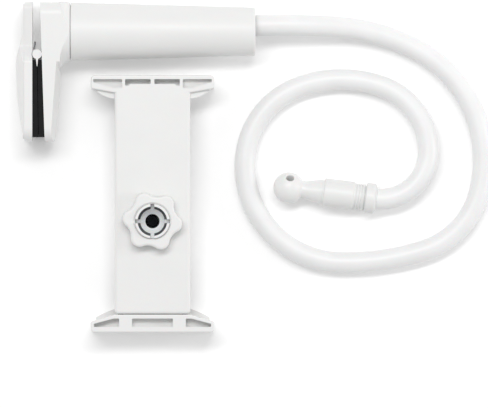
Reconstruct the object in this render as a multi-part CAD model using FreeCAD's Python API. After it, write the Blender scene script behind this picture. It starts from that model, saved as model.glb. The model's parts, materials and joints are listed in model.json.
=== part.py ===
import FreeCAD, Part
import math
import os

# Gooseneck tablet stand, laid flat beside its holder.
# A spring clamp carries a tapered grip. A bendable arm leaves the grip, comes down to the
# table and runs in a spiral to a ball. The tablet holder lies face down on its two lips,
# with the socket for that ball on its back.
# Millimetres, +Z up. The origin is on the table, under the middle of the whole set.

V = FreeCAD.Vector
X_DIR = V(1, 0, 0)
Y_DIR = V(0, 1, 0)
Z_DIR = V(0, 0, 1)

# Clearances
MOVING_GAP = 0.3        # between pieces that move past each other
RUNNING_FIT = 0.06      # radial, round piece turning on another
SLIP_FIT = 0.15         # radial, piece slipped into another and held
CUT_OVER = 1.0          # how far a cutting tool reaches past a face
CUT_THROUGH = 20.0      # reach of a cutting tool that passes a whole wall or plate

# Grip
MOUTH_X = 0.0           # the grip's open end, where the arm comes out
GRIP_LENGTH = 101.8
GRIP_Y = 74.3           # axis of the grip
GRIP_BELOW_JAW = 0.1    # the grip is this much slimmer than the jaws are wide
GRIP_SMALL_D = 26.4
GRIP_WALL = 2.9
GRIP_LIP_R = 1.2        # rounding of the mouth
GRIP_SEAM_CHAMFER = 0.25
SEAM_GROOVE_WIDTH = 0.5 # the fine shadow line between clamp and grip
SEAM_GROOVE_DEPTH = 1.5
SPIGOT_D = 22.0         # screwed stub of the clamp inside the grip
SPIGOT_LENGTH = 14.0

# Clamp: both jaws stand on edge, so their width lies along Z
CLAMP_WIDTH = 32.0
PIVOT_FROM_SEAM = 17.9
PIVOT_BELOW_AXIS = 12.5
PIVOT_PIN_D = 2.5
PIN_COVER = 1.0         # plastic left over the pin's end, on the back side
KNUCKLE_R = 2.6
KNUCKLE_RELIEF = 0.4
KNUCKLE_INSET = 0.4     # from the jaw's side in to the first knuckle
OUTER_KNUCKLE = 6.0     # width of each knuckle of the fixed jaw
INNER_KNUCKLE = 4.0     # width of each knuckle of the moving jaw
JAW_DROP = 48.0         # from the pivot down to the tips
LEVER_RISE = 28.6       # from the pivot up to the lever's end
MOVING_FACE = 2.6       # from the pivot out to the moving jaw's inner face
MOVING_RIM = 4.4        # thickness of the moving jaw's plate
CROWN_RISE = 4.6        # how far its domed back stands out
CROWN_BULGE = 0.3
CROWN_INSET = 1.4       # from the plate's edge in to the crown
CROWN_SHOULDER = 10.0   # above the pivot, where the crown starts to rise
CROWN_TIP_MARGIN = 0.5
CROWN_TAPER_DROP = 26.0 # below the pivot, where it starts to taper to the tip
LEVER_INSET = 5.0       # the lever is this much narrower than the jaw, on each side
LEVER_CROWN_INSET = 1.4
SHOULDER_DROP = 4.0     # below the pivot, where the lever widens to the jaw
SHOULDER_RISE = 4.5
FIXED_FACE_TOP = 1.6    # from the pivot across to the fixed jaw's inner face
FIXED_FACE_TIP = 4.2
FIXED_PLATE_TOP = 6.0   # thickness of the fixed jaw's plate at its top
FIXED_PLATE_TIP = 5.6
FIXED_PLATE_ROOT = 9.7
FLARE_REACH = 5.3       # the flare between boss and jaw, along the grip
FLARE_DROP = 7.0        # and square to it
PLATE_BULGE = 0.4       # its outer side bows out this far between root and tip
PLATE_DOME_R = 45.0     # its outer side is also domed across its width
NIB_WIDTH = 1.4         # small webs under the outer knuckles, seen between the pads
NIB_LENGTH = 6.6
NIB_THICKNESS = 0.8
POCKET_DEPTH = 9.5      # room in the fixed jaw for the squeezed lever
POCKET_CLEAR = 0.4
JAW_CORNER_R = 7.0
TIP_R = 1.6

# Rubber pads of the clamp
PAD_TOP_DROP = 3.1      # below the pivot
PAD_TIP_MARGIN = 2.6
PAD_INSET = 1.5         # from the jaw's side in to the pad
PAD_RIB_HEIGHT = 0.4
PAD_RIBS = 13

# Torsion spring of the clamp
SPRING_WIRE = 1.0
SPRING_COIL_R = 2.1     # to the middle of the wire
SPRING_LEAST_PITCH = 1.8
SPRING_LEG = 13.0
SPRING_LEG_LEAN = 18.0  # the jaw's leg leans this far into the fixed jaw, in degrees
SPRING_LEVER_LEG = 7.0
SPRING_LEVER_LEAN = 8.0

# Arm
ARM_D = 11.44
ARM_WALL = 1.6
ARM_OFFSET = 3.2        # the arm leaves the mouth off the grip's axis
ARM_HEADING = 2.2
ARM_LINK = 46.1
ARM_TURNS = (6.1, 24.3, 38.8, 38.2, 57.6, 18.5, 48.8, 50.8, 58.5, 39.4, 68.3, 100.3)
ARM_ROOT_FROM_SEAM = 4.8    # the arm runs back through the grip to here
LINK_GAP = 0.3          # between a link's round end and the next link's cup

# Root ferrule and its grub screw
FERRULE_WALL = 1.0
FERRULE_LENGTH = 20.0
GRUB_D = 4.0
GRUB_KEY = 2.0
GRUB_KEY_DEPTH = 1.5
GRUB_BELOW_SPIGOT = 0.6
GRUB_FROM_END = 5.0     # from the root's inner end to the grub screw

# Fitting at the arm's end; lengths along its axis
COLLAR_D = 16.5
COLLAR_LENGTH = 4.95
COLLAR_TAIL_D = 12.8
COLLAR_TAIL = 9.0
GROOVE_WIDTH = 0.6
HOUSING_D = 15.7
HOUSING_LENGTH = 22.6
RIBBED_D = 14.3
RIBBED_LENGTH = 5.8
RIB_GROOVES = 3
RIB_GROOVE_DEPTH = 0.4
SPIGOT_STEM_D = 10.0
STEM_ROOT_D = 13.5
STEM_NECK_D = 9.6
STEM_LENGTH = 10.0
BALL_D = 17.0
BALL_FROM_ARM = 47.4
BALL_HOLE_D = 4.4
BALL_HOLE_DEPTH = 8.0
BALL_HOLE_TILT = 43.0

# Holder, face down: lips on the table, back up
HOLDER_X = -56.5
BODY_WIDTH = 41.5
BODY_INTO_JAW = 3.9     # how far the body runs into the fixed jaw
BODY_END_Y = -80.6
BODY_FACE_Z = 13.0      # the face that the tablet lies on
BODY_SPLIT_Z = 18.6     # where the two shells meet
BODY_BACK_Z = 24.0
BODY_WALL = 2.0
BODY_CORNER_R = 2.0
BODY_EDGE_R = 1.5
JAW_WIDTH = 67.6
JAW_FACE_Y = 40.7       # where the tablet's edge stops
JAW_DEPTH = 9.6
JAW_END_STEP = 2.3      # the jaw is this much thinner at its ends
LIP_THICKNESS = 2.5
LIP_REACH = 6.5         # how far the lip's middle stands past the jaw's face
LIP_CORNER = 2.6        # from the jaw's end in to where the lip starts
JAW_BLOCK_R = 2.0
POCKET_RIB = 2.0
INNER_POCKET = 14.0
POCKET_BETWEEN = 1.6
POCKET_END_WALL = 1.3
POCKET_TOP_MARGIN = 2.1
POCKET_HEIGHT = 2.7
POCKET_NOTCH_WIDTH = 2.0    # the inner pockets are deeper at their outer ends
POCKET_NOTCH_DROP = 0.9
POCKET_DEEP = 2.3       # the outer pockets' deep ends reach this far below the inner ones
POCKET_FLAT = 4.8       # length of that deep end
POCKET_TIP_RISE = 1.1
INNER_POCKET_FLOOR = 17.5
OUTER_POCKET_FLOOR = 19.5
WING_FROM_END = 2.9     # curved web between the jaw's arm and the body, on each side
WING_TIP_RISE = 1.05    # its tip stands this far above the jaw's face line
WING_BELLY_DROP = 2.0
WING_ROOT_DROP = 3.2
WING_THICKNESS = 2.5

# Sliding jaw and its fork
SLIDE_JAW_DEPTH = 9.85
SLIDE_JAW_END_DROP = 4.1
WINDOW_HEIGHT = 4.6
WINDOW_WALL = 2.2
CENTRE_WINDOW = 22.4
SIDE_WINDOW_END_WALL = 1.7
SIDE_WINDOW_RISE = 1.7  # height of the slanted window's short end
SIDE_WINDOW_FROM = 18.3
WINDOW_FLOOR = 18.5
FORK_Z = 15.3
FORK_THICKNESS = 3.0
RAIL_WIDTH = 2.45       # rail of the front shell beside each tine
RAIL_PAST_FORK = 4.0
FORK_ROOT_Y = -62.0
FORK_TOP_Y = 30.0

# Return springs of the sliding jaw
RETURN_COIL_D = 4.2
RETURN_WIRE = 0.7
RETURN_CLEAR = 0.5      # from the coil to the well and to the tine beside it
RETURN_TOP_Y = 33.0
HOOK_R = 1.2            # posts that hold the springs' ends
HOOK_BEYOND = 2.3       # from the coil's end to the middle of its post
HOOK_HEIGHT = 4.4
RETURN_TURNS = 30

# Ball socket on the holder's back
SOCKET_Y = -29.75
COLLET_D = 19.0
COLLET_TOP_Z = 34.0
COLLET_FOOT_D = 21.0
COLLET_FOOT_Z = 21.8
MOUTH_D = 16.2
BALL_CLEAR = 0.1
SLOT_WIDTH = 2.1
SLOT_BOTTOM_Z = 22.8
WELL_D = 10.0
WELL_BORE_D = 7.8
WELL_FLOOR_Z = 17.4
WELL_FLOOR = 1.2
RING_D = 13.4
RING_BORE_D = 8.1
TAB_CLEAR = 0.1
TAB_TOP_Z = 26.0
NUT_BOTTOM_Z = 24.4
NUT_TOP_Z = 32.6
NUT_LOBE_R = 16.5
NUT_VALLEY_R = 13.5
NUT_LOBES = 6
NUT_FIRST_LOBE = -7.0

# Screws and pads of the holder
SCREW_D = 3.0
SCREW_HEAD_D = 5.6
SCREW_HEAD = 1.4
SEAT_SCREW_HEAD_D = 6.4
SEAT_SCREW_HEAD = 2.0
SEAT_SCREW_END_Z = 13.8
POST_D = 6.4
SCREW_LENGTH = 8.1
SCREW_INSET = 6.75      # from the body's side in to the two upper screws
UPPER_SCREWS_Y = 37.0
MIDDLE_SCREWS_Y = (6.0, -54.0)
SCREW_HOLE_DEPTH = 10.0
STRIP_THICKNESS = 1.2
STRIP_INSET = 1.75      # from the body's side in to the jaw strip's end
STRIP_BOTTOM_Z = 3.6
STRIP_TOP_Z = 11.6
STRIP_RIBS = 5
FRONT_STRIPS_Y = (20.0, -68.0)
FRONT_STRIP_INSET = 5.0
FRONT_STRIP_WIDTH = 8.0
FRONT_STRIP_PROUD = 0.8
FRONT_STRIP_SUNK = 0.4

# Worked out from the sizes above
seam_x = MOUTH_X - GRIP_LENGTH
axis_z = CLAMP_WIDTH / 2
pivot = V(seam_x - PIVOT_FROM_SEAM, GRIP_Y - PIVOT_BELOW_AXIS, 0)
grip_big_r = (CLAMP_WIDTH - GRIP_BELOW_JAW) / 2
lever_half = CLAMP_WIDTH / 2 - LEVER_INSET
spring_room = CLAMP_WIDTH - 2 * (KNUCKLE_INSET + OUTER_KNUCKLE + MOVING_GAP + INNER_KNUCKLE)
spring_length = spring_room - SPRING_WIRE - 2 * MOVING_GAP
spring_turns = max(1, int(spring_length / SPRING_LEAST_PITCH + 0.001)) + 0.5
flare_root_y = GRIP_Y - grip_big_r - FLARE_DROP
arm_root = GRIP_LENGTH - ARM_ROOT_FROM_SEAM
arm_r = ARM_D / 2
core_r = arm_r - ARM_WALL
ball_r = BALL_D / 2
socket_x = HOLDER_X
jaw_top_y = JAW_FACE_Y + JAW_DEPTH
jaw_end_y = JAW_FACE_Y + JAW_END_STEP
body_top_y = JAW_FACE_Y + BODY_INTO_JAW
slide_face_y = BODY_END_Y - MOVING_GAP
slide_bottom_y = slide_face_y - SLIDE_JAW_DEPTH
fork_half = BODY_WIDTH / 2 - BODY_WALL - RAIL_WIDTH - MOVING_GAP
return_x = WELL_D / 2 + RETURN_CLEAR + RETURN_COIL_D / 2
fork_slot_half = return_x + RETURN_COIL_D / 2 + RETURN_CLEAR
tine_tip_r = (fork_half - fork_slot_half) / 4
strip_half = BODY_WIDTH / 2 - STRIP_INSET
upper_screw_x = BODY_WIDTH / 2 - SCREW_INSET
case_screw_places = [(-upper_screw_x, UPPER_SCREWS_Y), (upper_screw_x, UPPER_SCREWS_Y)]
case_screw_places += [(0.0, y) for y in MIDDLE_SCREWS_Y]
ball_seat_z = COLLET_TOP_Z - math.sqrt((ball_r + BALL_CLEAR) ** 2 - (MOUTH_D / 2) ** 2)


def outline(corners):
    """A closed wire in the XY plane; each corner is (x, y, rounding radius)."""
    count = len(corners)
    trimmed = []
    for i in range(count):
        here = V(corners[i][0], corners[i][1], 0)
        before = V(corners[i - 1][0], corners[i - 1][1], 0) - here
        after = V(corners[(i + 1) % count][0], corners[(i + 1) % count][1], 0) - here
        before.normalize()
        after.normalize()
        radius = corners[i][2]
        if radius <= 0:
            trimmed.append((here, None, here))
            continue
        half = before.getAngle(after) / 2
        middle = (before + after).normalize()
        run = radius / math.tan(half)
        top = here + middle * (radius / math.sin(half) - radius)
        trimmed.append((here + before * run, top, here + after * run))
    edges = []
    for i in range(count):
        first, top, last = trimmed[i]
        if top is not None:
            edges.append(Part.Arc(first, top, last).toShape())
        following = trimmed[(i + 1) % count][0]
        if last.distanceToPoint(following) > 1e-6:
            edges.append(Part.LineSegment(last, following).toShape())
    return Part.Wire(edges)


def prism(corners, z0, z1):
    """The outline, drawn in XY, from z0 up to z1."""
    solid = Part.Face(outline(corners)).extrude(V(0, 0, z1 - z0))
    solid.translate(V(0, 0, z0))
    return solid


def prism_along_x(corners, x0, x1):
    """The outline, drawn as (y, z) points, from x0 to x1."""
    solid = prism(corners, x0, x1)
    solid.rotate(V(0, 0, 0), V(1, 1, 1), 120)
    return solid


def rectangle(x0, y0, x1, y1, radius=0.0):
    return [(x0, y0, radius), (x1, y0, radius), (x1, y1, radius), (x0, y1, radius)]


def block(x0, y0, z0, x1, y1, z1):
    return Part.makeBox(x1 - x0, y1 - y0, z1 - z0, V(x0, y0, z0))


def cylinder(radius, start, direction, length):
    return Part.makeCylinder(radius, length, start, direction)


def ring(outer, inner, start, direction, length):
    return cylinder(outer, start, direction, length).cut(
        cylinder(inner, start - direction * CUT_OVER, direction, length + 2 * CUT_OVER)
    )


def turned(profile, start, direction):
    """A turned piece: (distance along the axis, radius, rounding) corners."""
    face = Part.Face(outline(profile))
    solid = face.revolve(V(0, 0, 0), X_DIR, 360)
    solid.Placement = FreeCAD.Placement(start, FreeCAD.Rotation(X_DIR, direction))
    return solid


def fuse_all(pieces):
    joined = pieces[0]
    if len(pieces) > 1:
        joined = pieces[0].multiFuse(pieces[1:])
    return joined.removeSplitter()


def cut_all(solid, tools):
    for tool in tools:
        solid = solid.cut(tool)
    return solid


def edges_at(shape, test):
    """The edges whose middle point passes the test."""
    found = []
    for edge in shape.Edges:
        middle = edge.valueAt((edge.FirstParameter + edge.LastParameter) / 2)
        if test(middle):
            found.append(edge)
    return found


def coil(start, direction, radius, wire_r, pitch, length, left_handed=False):
    """A close spring body: one wire wound on a helix."""
    helix = Part.makeHelix(pitch, length, radius, 0, left_handed)
    section = Part.Wire(Part.makeCircle(wire_r, V(radius, 0, 0), Y_DIR))
    body = Part.Wire(helix.Edges).makePipeShell([section], True, True)
    body.Placement = FreeCAD.Placement(start, FreeCAD.Rotation(Z_DIR, direction))
    return body


def write(name, shape):
    """One STEP file per node."""
    shape.exportStep(os.path.join("parts", name + ".step"))


# Clamp

def knuckle_spans():
    """The Z ranges of the fixed and of the moving knuckles."""
    first = (KNUCKLE_INSET, KNUCKLE_INSET + OUTER_KNUCKLE)
    second = (first[1] + MOVING_GAP, first[1] + MOVING_GAP + INNER_KNUCKLE)
    fixed = [first, (CLAMP_WIDTH - first[1], CLAMP_WIDTH - first[0])]
    moving = [second, (CLAMP_WIDTH - second[1], CLAMP_WIDTH - second[0])]
    return fixed, moving


def jaw_front(half_lever, top, bottom):
    """A jaw seen along the grip, as (y, z): broad below the pivot, lever width above."""
    shoulder = pivot.y - SHOULDER_DROP
    half = CLAMP_WIDTH / 2
    neck = shoulder + SHOULDER_DROP + SHOULDER_RISE
    return [
        (bottom, axis_z - half, JAW_CORNER_R),
        (shoulder, axis_z - half, 2.0),
        (neck, axis_z - half_lever, 2.0),
        (top, axis_z - half_lever, JAW_CORNER_R / 2),
        (top, axis_z + half_lever, JAW_CORNER_R / 2),
        (neck, axis_z + half_lever, 2.0),
        (shoulder, axis_z + half, 2.0),
        (bottom, axis_z + half, JAW_CORNER_R),
    ]


def fixed_face(y):
    """X of the fixed jaw's inner face, from its straight slope."""
    top_y = pivot.y + LEVER_RISE
    share = (top_y - y) / (LEVER_RISE + JAW_DROP)
    return pivot.x + FIXED_FACE_TOP + share * (FIXED_FACE_TIP - FIXED_FACE_TOP)


def pin_top():
    """Z of the hinge pin's blind end."""
    fixed, moving = knuckle_spans()
    return fixed[1][1] - PIN_COVER


def hinge_nib(z0):
    """A thin pointed web that hangs from an outer knuckle, beside the pads' ends."""
    half = NIB_WIDTH / 2
    return prism([
        (pivot.x - half, pivot.y - KNUCKLE_R + 0.8, 0.0),
        (pivot.x - 0.15, pivot.y - NIB_LENGTH, 0.0),
        (pivot.x + 0.15, pivot.y - NIB_LENGTH, 0.0),
        (pivot.x + half, pivot.y - KNUCKLE_R + 0.8, 0.0),
    ], z0, z0 + NIB_THICKNESS)


def clamp_fixed_jaw():
    top = pivot.y + LEVER_RISE + 0.3
    tip = pivot.y - JAW_DROP
    root = flare_root_y
    face_top = fixed_face(top)
    face_tip = fixed_face(tip)
    tip_point = V(face_tip + FIXED_PLATE_TIP, tip, 0)
    root_point = V(fixed_face(root) + FIXED_PLATE_ROOT, root, 0)
    middle = (tip_point + root_point) / 2
    plate = prism([
        (face_top, top, 0.6),
        (face_tip, tip, TIP_R),
        (tip_point.x, tip_point.y, 2.0),
        (middle.x + PLATE_BULGE, middle.y, 70.0),
        (root_point.x, root_point.y, 0.0),
        (seam_x - FLARE_REACH, GRIP_Y, 0.0),
        (face_top + FIXED_PLATE_TOP, top, 1.6),
    ], 0, CLAMP_WIDTH)
    rise = (root_point - tip_point).normalize()
    outward = V(rise.y, -rise.x, 0)
    dome_start = tip_point - rise * JAW_DROP - outward * (PLATE_DOME_R - PLATE_BULGE)
    plate = plate.common(cylinder(PLATE_DOME_R, dome_start + V(0, 0, axis_z), rise, 4 * JAW_DROP))
    big_r = grip_big_r
    flare_x = seam_x - FLARE_REACH
    flare_top = big_r + FLARE_DROP
    boss_start = flare_x - POCKET_DEPTH / 2
    diagonal = math.sqrt(0.5)
    arc = Part.Arc(
        V(flare_x, flare_top, 0),
        V(seam_x - FLARE_REACH * diagonal, flare_top - FLARE_DROP * diagonal, 0),
        V(seam_x, big_r, 0))
    half_profile = Part.Wire([
        arc.toShape(),
        Part.LineSegment(V(seam_x, big_r, 0), V(seam_x, 0, 0)).toShape(),
        Part.LineSegment(V(seam_x, 0, 0), V(boss_start, 0, 0)).toShape(),
        Part.LineSegment(V(boss_start, 0, 0), V(boss_start, flare_top, 0)).toShape(),
        Part.LineSegment(V(boss_start, flare_top, 0), V(flare_x, flare_top, 0)).toShape(),
    ])
    boss = Part.Face(half_profile).revolve(V(0, 0, 0), X_DIR, 360)
    boss.translate(V(0, GRIP_Y, axis_z))
    boss_edge = edges_at(boss, lambda p: abs(p.x - seam_x) < 0.01)
    boss = boss.makeChamfer(GRIP_SEAM_CHAMFER, boss_edge)
    # The root of the boss never reaches above or below the flare's own place
    boss = boss.cut(block(boss_start - CUT_OVER, root - CUT_THROUGH, -CUT_THROUGH,
                          fixed_face(root) + FLARE_REACH, root, CLAMP_WIDTH + CUT_THROUGH))
    front = prism_along_x([
        (tip, 0, JAW_CORNER_R),
        (top, 0, JAW_CORNER_R),
        (top, CLAMP_WIDTH, JAW_CORNER_R),
        (tip, CLAMP_WIDTH, JAW_CORNER_R),
    ], pivot.x - 5, seam_x)
    body = plate.fuse(boss).common(front)
    spigot = cylinder(SPIGOT_D / 2, V(seam_x - 1, GRIP_Y, axis_z), X_DIR, SPIGOT_LENGTH + 1)
    fixed, moving = knuckle_spans()
    knuckles = [
        cylinder(KNUCKLE_R, V(pivot.x, pivot.y, z0), Z_DIR, z1 - z0) for z0, z1 in fixed
    ]
    nibs = [hinge_nib(fixed[0][0]), hinge_nib(fixed[1][1] - NIB_THICKNESS)]
    body = fuse_all([body, spigot] + knuckles + nibs)
    relief = KNUCKLE_R + KNUCKLE_RELIEF
    room_low = fixed[0][1]
    room_high = fixed[1][0]
    pocket_half = lever_half + POCKET_CLEAR
    pocket = block(
        pivot.x - 5, pivot.y, axis_z - pocket_half,
        fixed_face(pivot.y) + POCKET_DEPTH, top + CUT_OVER, axis_z + pocket_half)
    bore = cylinder(PIVOT_PIN_D / 2, V(pivot.x, pivot.y, -CUT_OVER), Z_DIR,
                    pin_top() + CUT_OVER)
    body = cut_all(body, [
        cylinder(relief, V(pivot.x, pivot.y, room_low), Z_DIR, room_high - room_low),
        pocket, bore, root_hole(), grub_hole(),
    ])
    return body.removeSplitter()


def moving_crown_side():
    """The domed back of the moving jaw, as corners in XY."""
    inner = pivot.x - MOVING_FACE - MOVING_RIM / 2
    rim = pivot.x - MOVING_FACE - MOVING_RIM
    return [
        (inner, pivot.y + LEVER_RISE, 0.0),
        (rim - 0.6, pivot.y + LEVER_RISE, 1.0),
        (rim - 1.3, pivot.y + CROWN_SHOULDER, 14.0),
        (rim - CROWN_RISE - CROWN_BULGE, pivot.y - 3.0, 24.0),
        (rim - CROWN_RISE + 0.7, pivot.y - CROWN_TAPER_DROP, 70.0),
        (rim - 0.5, pivot.y - JAW_DROP + CROWN_TIP_MARGIN, 2.0),
        (inner, pivot.y - JAW_DROP + CROWN_TIP_MARGIN, 0.0),
    ]


def clamp_moving_jaw():
    tip = pivot.y - JAW_DROP + 0.4
    top = pivot.y + LEVER_RISE
    face = pivot.x - MOVING_FACE
    plate = prism(rectangle(face - MOVING_RIM, tip, face, top), 0, CLAMP_WIDTH)
    plate = plate.common(
        prism_along_x(jaw_front(lever_half, top, tip), face - CUT_THROUGH, face + CUT_OVER))
    crown_half = lever_half - LEVER_CROWN_INSET
    crown = prism(moving_crown_side(), 0, CLAMP_WIDTH)
    inset = CLAMP_WIDTH / 2 - CROWN_INSET
    crown_front = [
        (tip + 1.0, axis_z - inset, JAW_CORNER_R - 2),
        (pivot.y - SHOULDER_DROP - 2, axis_z - inset, 4.0),
        (pivot.y + SHOULDER_RISE, axis_z - crown_half, 4.0),
        (top - 1.0, axis_z - crown_half, 2.0),
        (top - 1.0, axis_z + crown_half, 2.0),
        (pivot.y + SHOULDER_RISE, axis_z + crown_half, 4.0),
        (pivot.y - SHOULDER_DROP - 2, axis_z + inset, 4.0),
        (tip + 1.0, axis_z + inset, JAW_CORNER_R - 2),
    ]
    crown = crown.common(
        prism_along_x(crown_front, face - CUT_THROUGH, face - MOVING_RIM / 2))
    rise = CROWN_RISE + CROWN_BULGE
    dome_r = (inset ** 2 + rise ** 2) / (2 * rise)
    dome_x = face - MOVING_RIM - rise + dome_r
    crown = crown.common(cylinder(dome_r, V(dome_x, tip - CUT_OVER, axis_z), Y_DIR,
                                  top - tip + 2 * CUT_OVER))
    fixed, moving = knuckle_spans()
    relief = KNUCKLE_R + KNUCKLE_RELIEF
    bounds = [-1.0, moving[0][0], moving[0][1], moving[1][0], moving[1][1], CLAMP_WIDTH + 1]
    reliefs = [
        cylinder(relief, V(pivot.x, pivot.y, z0), Z_DIR, z1 - z0)
        for z0, z1 in zip(bounds[0::2], bounds[1::2])
    ]
    body = cut_all(fuse_all([plate, crown]), reliefs)
    knuckles = []
    for z0, z1 in moving:
        knuckles.append(cylinder(KNUCKLE_R, V(pivot.x, pivot.y, z0), Z_DIR, z1 - z0))
        knuckles.append(block(
            face - 1, pivot.y - KNUCKLE_R, z0, pivot.x, pivot.y + KNUCKLE_R, z1))
    body = fuse_all([body] + knuckles)
    bore_r = PIVOT_PIN_D / 2 + RUNNING_FIT
    body = body.cut(cylinder(bore_r, V(pivot.x, pivot.y, -1), Z_DIR, CLAMP_WIDTH + 2))
    return body.removeSplitter()


def clamp_pivot_pin():
    fixed, moving = knuckle_spans()
    low = fixed[0][0]
    return cylinder(PIVOT_PIN_D / 2, V(pivot.x, pivot.y, low), Z_DIR, pin_top() - low)


def clamp_spring():
    wire_r = SPRING_WIRE / 2
    low = axis_z - spring_length / 2
    winding = coil(
        V(pivot.x, pivot.y, low), Z_DIR, SPRING_COIL_R, wire_r,
        spring_length / spring_turns, spring_length, True)
    side = V(SPRING_COIL_R, 0, 0)
    jaw_lean = math.radians(SPRING_LEG_LEAN)
    jaw_leg = cylinder(wire_r, V(pivot.x, pivot.y, low) + side,
                       V(math.sin(jaw_lean), math.cos(jaw_lean), 0), SPRING_LEG)
    lever_lean = math.radians(SPRING_LEVER_LEAN)
    lever_leg = cylinder(wire_r, V(pivot.x, pivot.y, low + spring_length) - side,
                         V(math.sin(lever_lean), math.cos(lever_lean), 0), SPRING_LEVER_LEG)
    return fuse_all([winding, lever_leg, jaw_leg])


def clamp_pad(back, face, width):
    """A rubber pad with rounded ribs: its back line and its face line, top to bottom."""
    back_top, back_bottom = back
    face_top, face_bottom = face
    step = (face_top - face_bottom) * (1.0 / PAD_RIBS)
    away = (back_top - face_top)
    away.normalize()
    edges = [
        Part.LineSegment(face_top, back_top).toShape(),
        Part.LineSegment(back_top, back_bottom).toShape(),
        Part.LineSegment(back_bottom, face_bottom).toShape(),
    ]
    for i in range(PAD_RIBS):
        valley = face_bottom + step * i
        crest = valley + step * 0.5 - away * PAD_RIB_HEIGHT
        edges.append(Part.Arc(valley, crest, valley + step).toShape())
    solid = Part.Face(Part.Wire(Part.__sortEdges__(edges))).extrude(V(0, 0, width))
    solid.translate(V(0, 0, axis_z - width / 2))
    return solid


def clamp_pads():
    top = pivot.y - PAD_TOP_DROP
    bottom = pivot.y - JAW_DROP + PAD_TIP_MARGIN
    moving_x = pivot.x - MOVING_FACE
    backs = []
    for y in (top, bottom):
        middle = (moving_x + fixed_face(y)) / 2
        valley = MOVING_GAP / 2 + PAD_RIB_HEIGHT
        backs.append((V(moving_x, y, 0), V(middle - valley, y, 0),
                      V(fixed_face(y), y, 0), V(middle + valley, y, 0)))
    upper, lower = backs
    width = CLAMP_WIDTH - 2 * PAD_INSET
    moving_pad = clamp_pad((upper[0], lower[0]), (upper[1], lower[1]), width)
    fixed_pad = clamp_pad((upper[2], lower[2]), (upper[3], lower[3]), width)
    return moving_pad, fixed_pad


# Grip and the arm's root

def arm_start():
    return V(MOUTH_X, GRIP_Y + ARM_OFFSET, axis_z)


def arm_direction(heading, pitch=0.0):
    level = math.cos(pitch)
    return V(level * math.cos(heading), level * math.sin(heading), math.sin(pitch))


def root_line():
    """Start point and direction of the arm's straight root inside the grip."""
    along = arm_direction(math.radians(ARM_HEADING))
    return arm_start() - along * arm_root, along


def root_hole():
    start, along = root_line()
    return cylinder(arm_r + FERRULE_WALL, start, along, arm_root)


def grub_place():
    """Foot of the grub screw, on the ferrule, and its outward direction."""
    start, along = root_line()
    return start + along * GRUB_FROM_END + V(0, 0, arm_r + FERRULE_WALL), Z_DIR


def grub_hole():
    foot, up = grub_place()
    return cylinder(GRUB_D / 2, foot, up, SPIGOT_D / 2)


def grip_sleeve():
    big = grip_big_r
    small = GRIP_SMALL_D / 2
    thread_r = SPIGOT_D / 2 + SLIP_FIT
    step_x = seam_x + SPIGOT_LENGTH + 1.0
    share = (step_x + 4 - seam_x) / GRIP_LENGTH
    wide_r = big + (small - big) * share - GRIP_WALL
    groove_end = seam_x + SEAM_GROOVE_WIDTH
    profile = [
        (seam_x, thread_r, 0.0),
        (seam_x, big - SEAM_GROOVE_DEPTH, 0.0),
        (groove_end, big - SEAM_GROOVE_DEPTH, 0.0),
        (groove_end, big - GRIP_SEAM_CHAMFER, 0.0),
        (groove_end + GRIP_SEAM_CHAMFER, big, 0.0),
        (MOUTH_X, small, GRIP_LIP_R),
        (MOUTH_X, small - GRIP_WALL, GRIP_LIP_R),
        (step_x + 4, wide_r, 0.0),
        (step_x, thread_r, 0.0),
    ]
    return turned(profile, V(0, GRIP_Y, axis_z), X_DIR)


def root_ferrule():
    start, along = root_line()
    return ring(arm_r + FERRULE_WALL, arm_r, start, along, FERRULE_LENGTH)


def grub_screw():
    foot, up = grub_place()
    length = SPIGOT_D / 2 - arm_r - FERRULE_WALL - GRUB_BELOW_SPIGOT
    screw = cylinder(GRUB_D / 2, foot, up, length)
    key = Part.Face(Part.Wire(Part.makePolygon([
        V(GRUB_KEY / 2 * math.cos(math.radians(a)), GRUB_KEY / 2 * math.sin(math.radians(a)), 0)
        for a in range(0, 361, 60)
    ]))).extrude(V(0, 0, GRUB_KEY_DEPTH + CUT_OVER))
    key.translate(foot + up * (length - GRUB_KEY_DEPTH))
    return screw.cut(key)


# Arm

def pitch_between(height, headings):
    """The slope at the middle of a two-link S that changes the arm's height."""
    slope = height / (2 * ARM_LINK)
    for step in range(6):
        rise = 0.0
        for turn in headings:
            bend = math.acos(math.cos(slope) * math.cos(turn))
            rise += ARM_LINK * math.tan(bend / 2) / bend
        slope = math.asin(height / rise)
    return slope


def arm_frames():
    """Joint points and directions along the arm, from the grip's mouth to its end."""
    turns = [math.radians(turn) for turn in ARM_TURNS]
    count = len(turns)
    heading = math.radians(ARM_HEADING)
    pitches = [0.0] * (count + 1)
    pitches[1] = pitch_between(arm_r - axis_z, turns[:2])
    pitches[count - 1] = pitch_between(ball_r - arm_r, turns[-2:])
    point = arm_start()
    along = arm_direction(heading)
    frames = [(point, along)]
    for i in range(count):
        heading -= turns[i]
        following = arm_direction(heading, pitches[i + 1])
        bend = along.getAngle(following)
        reach = ARM_LINK / bend * math.tan(bend / 2)
        point = point + (along + following) * reach
        along = following
        frames.append((point, along))
    return frames


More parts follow.
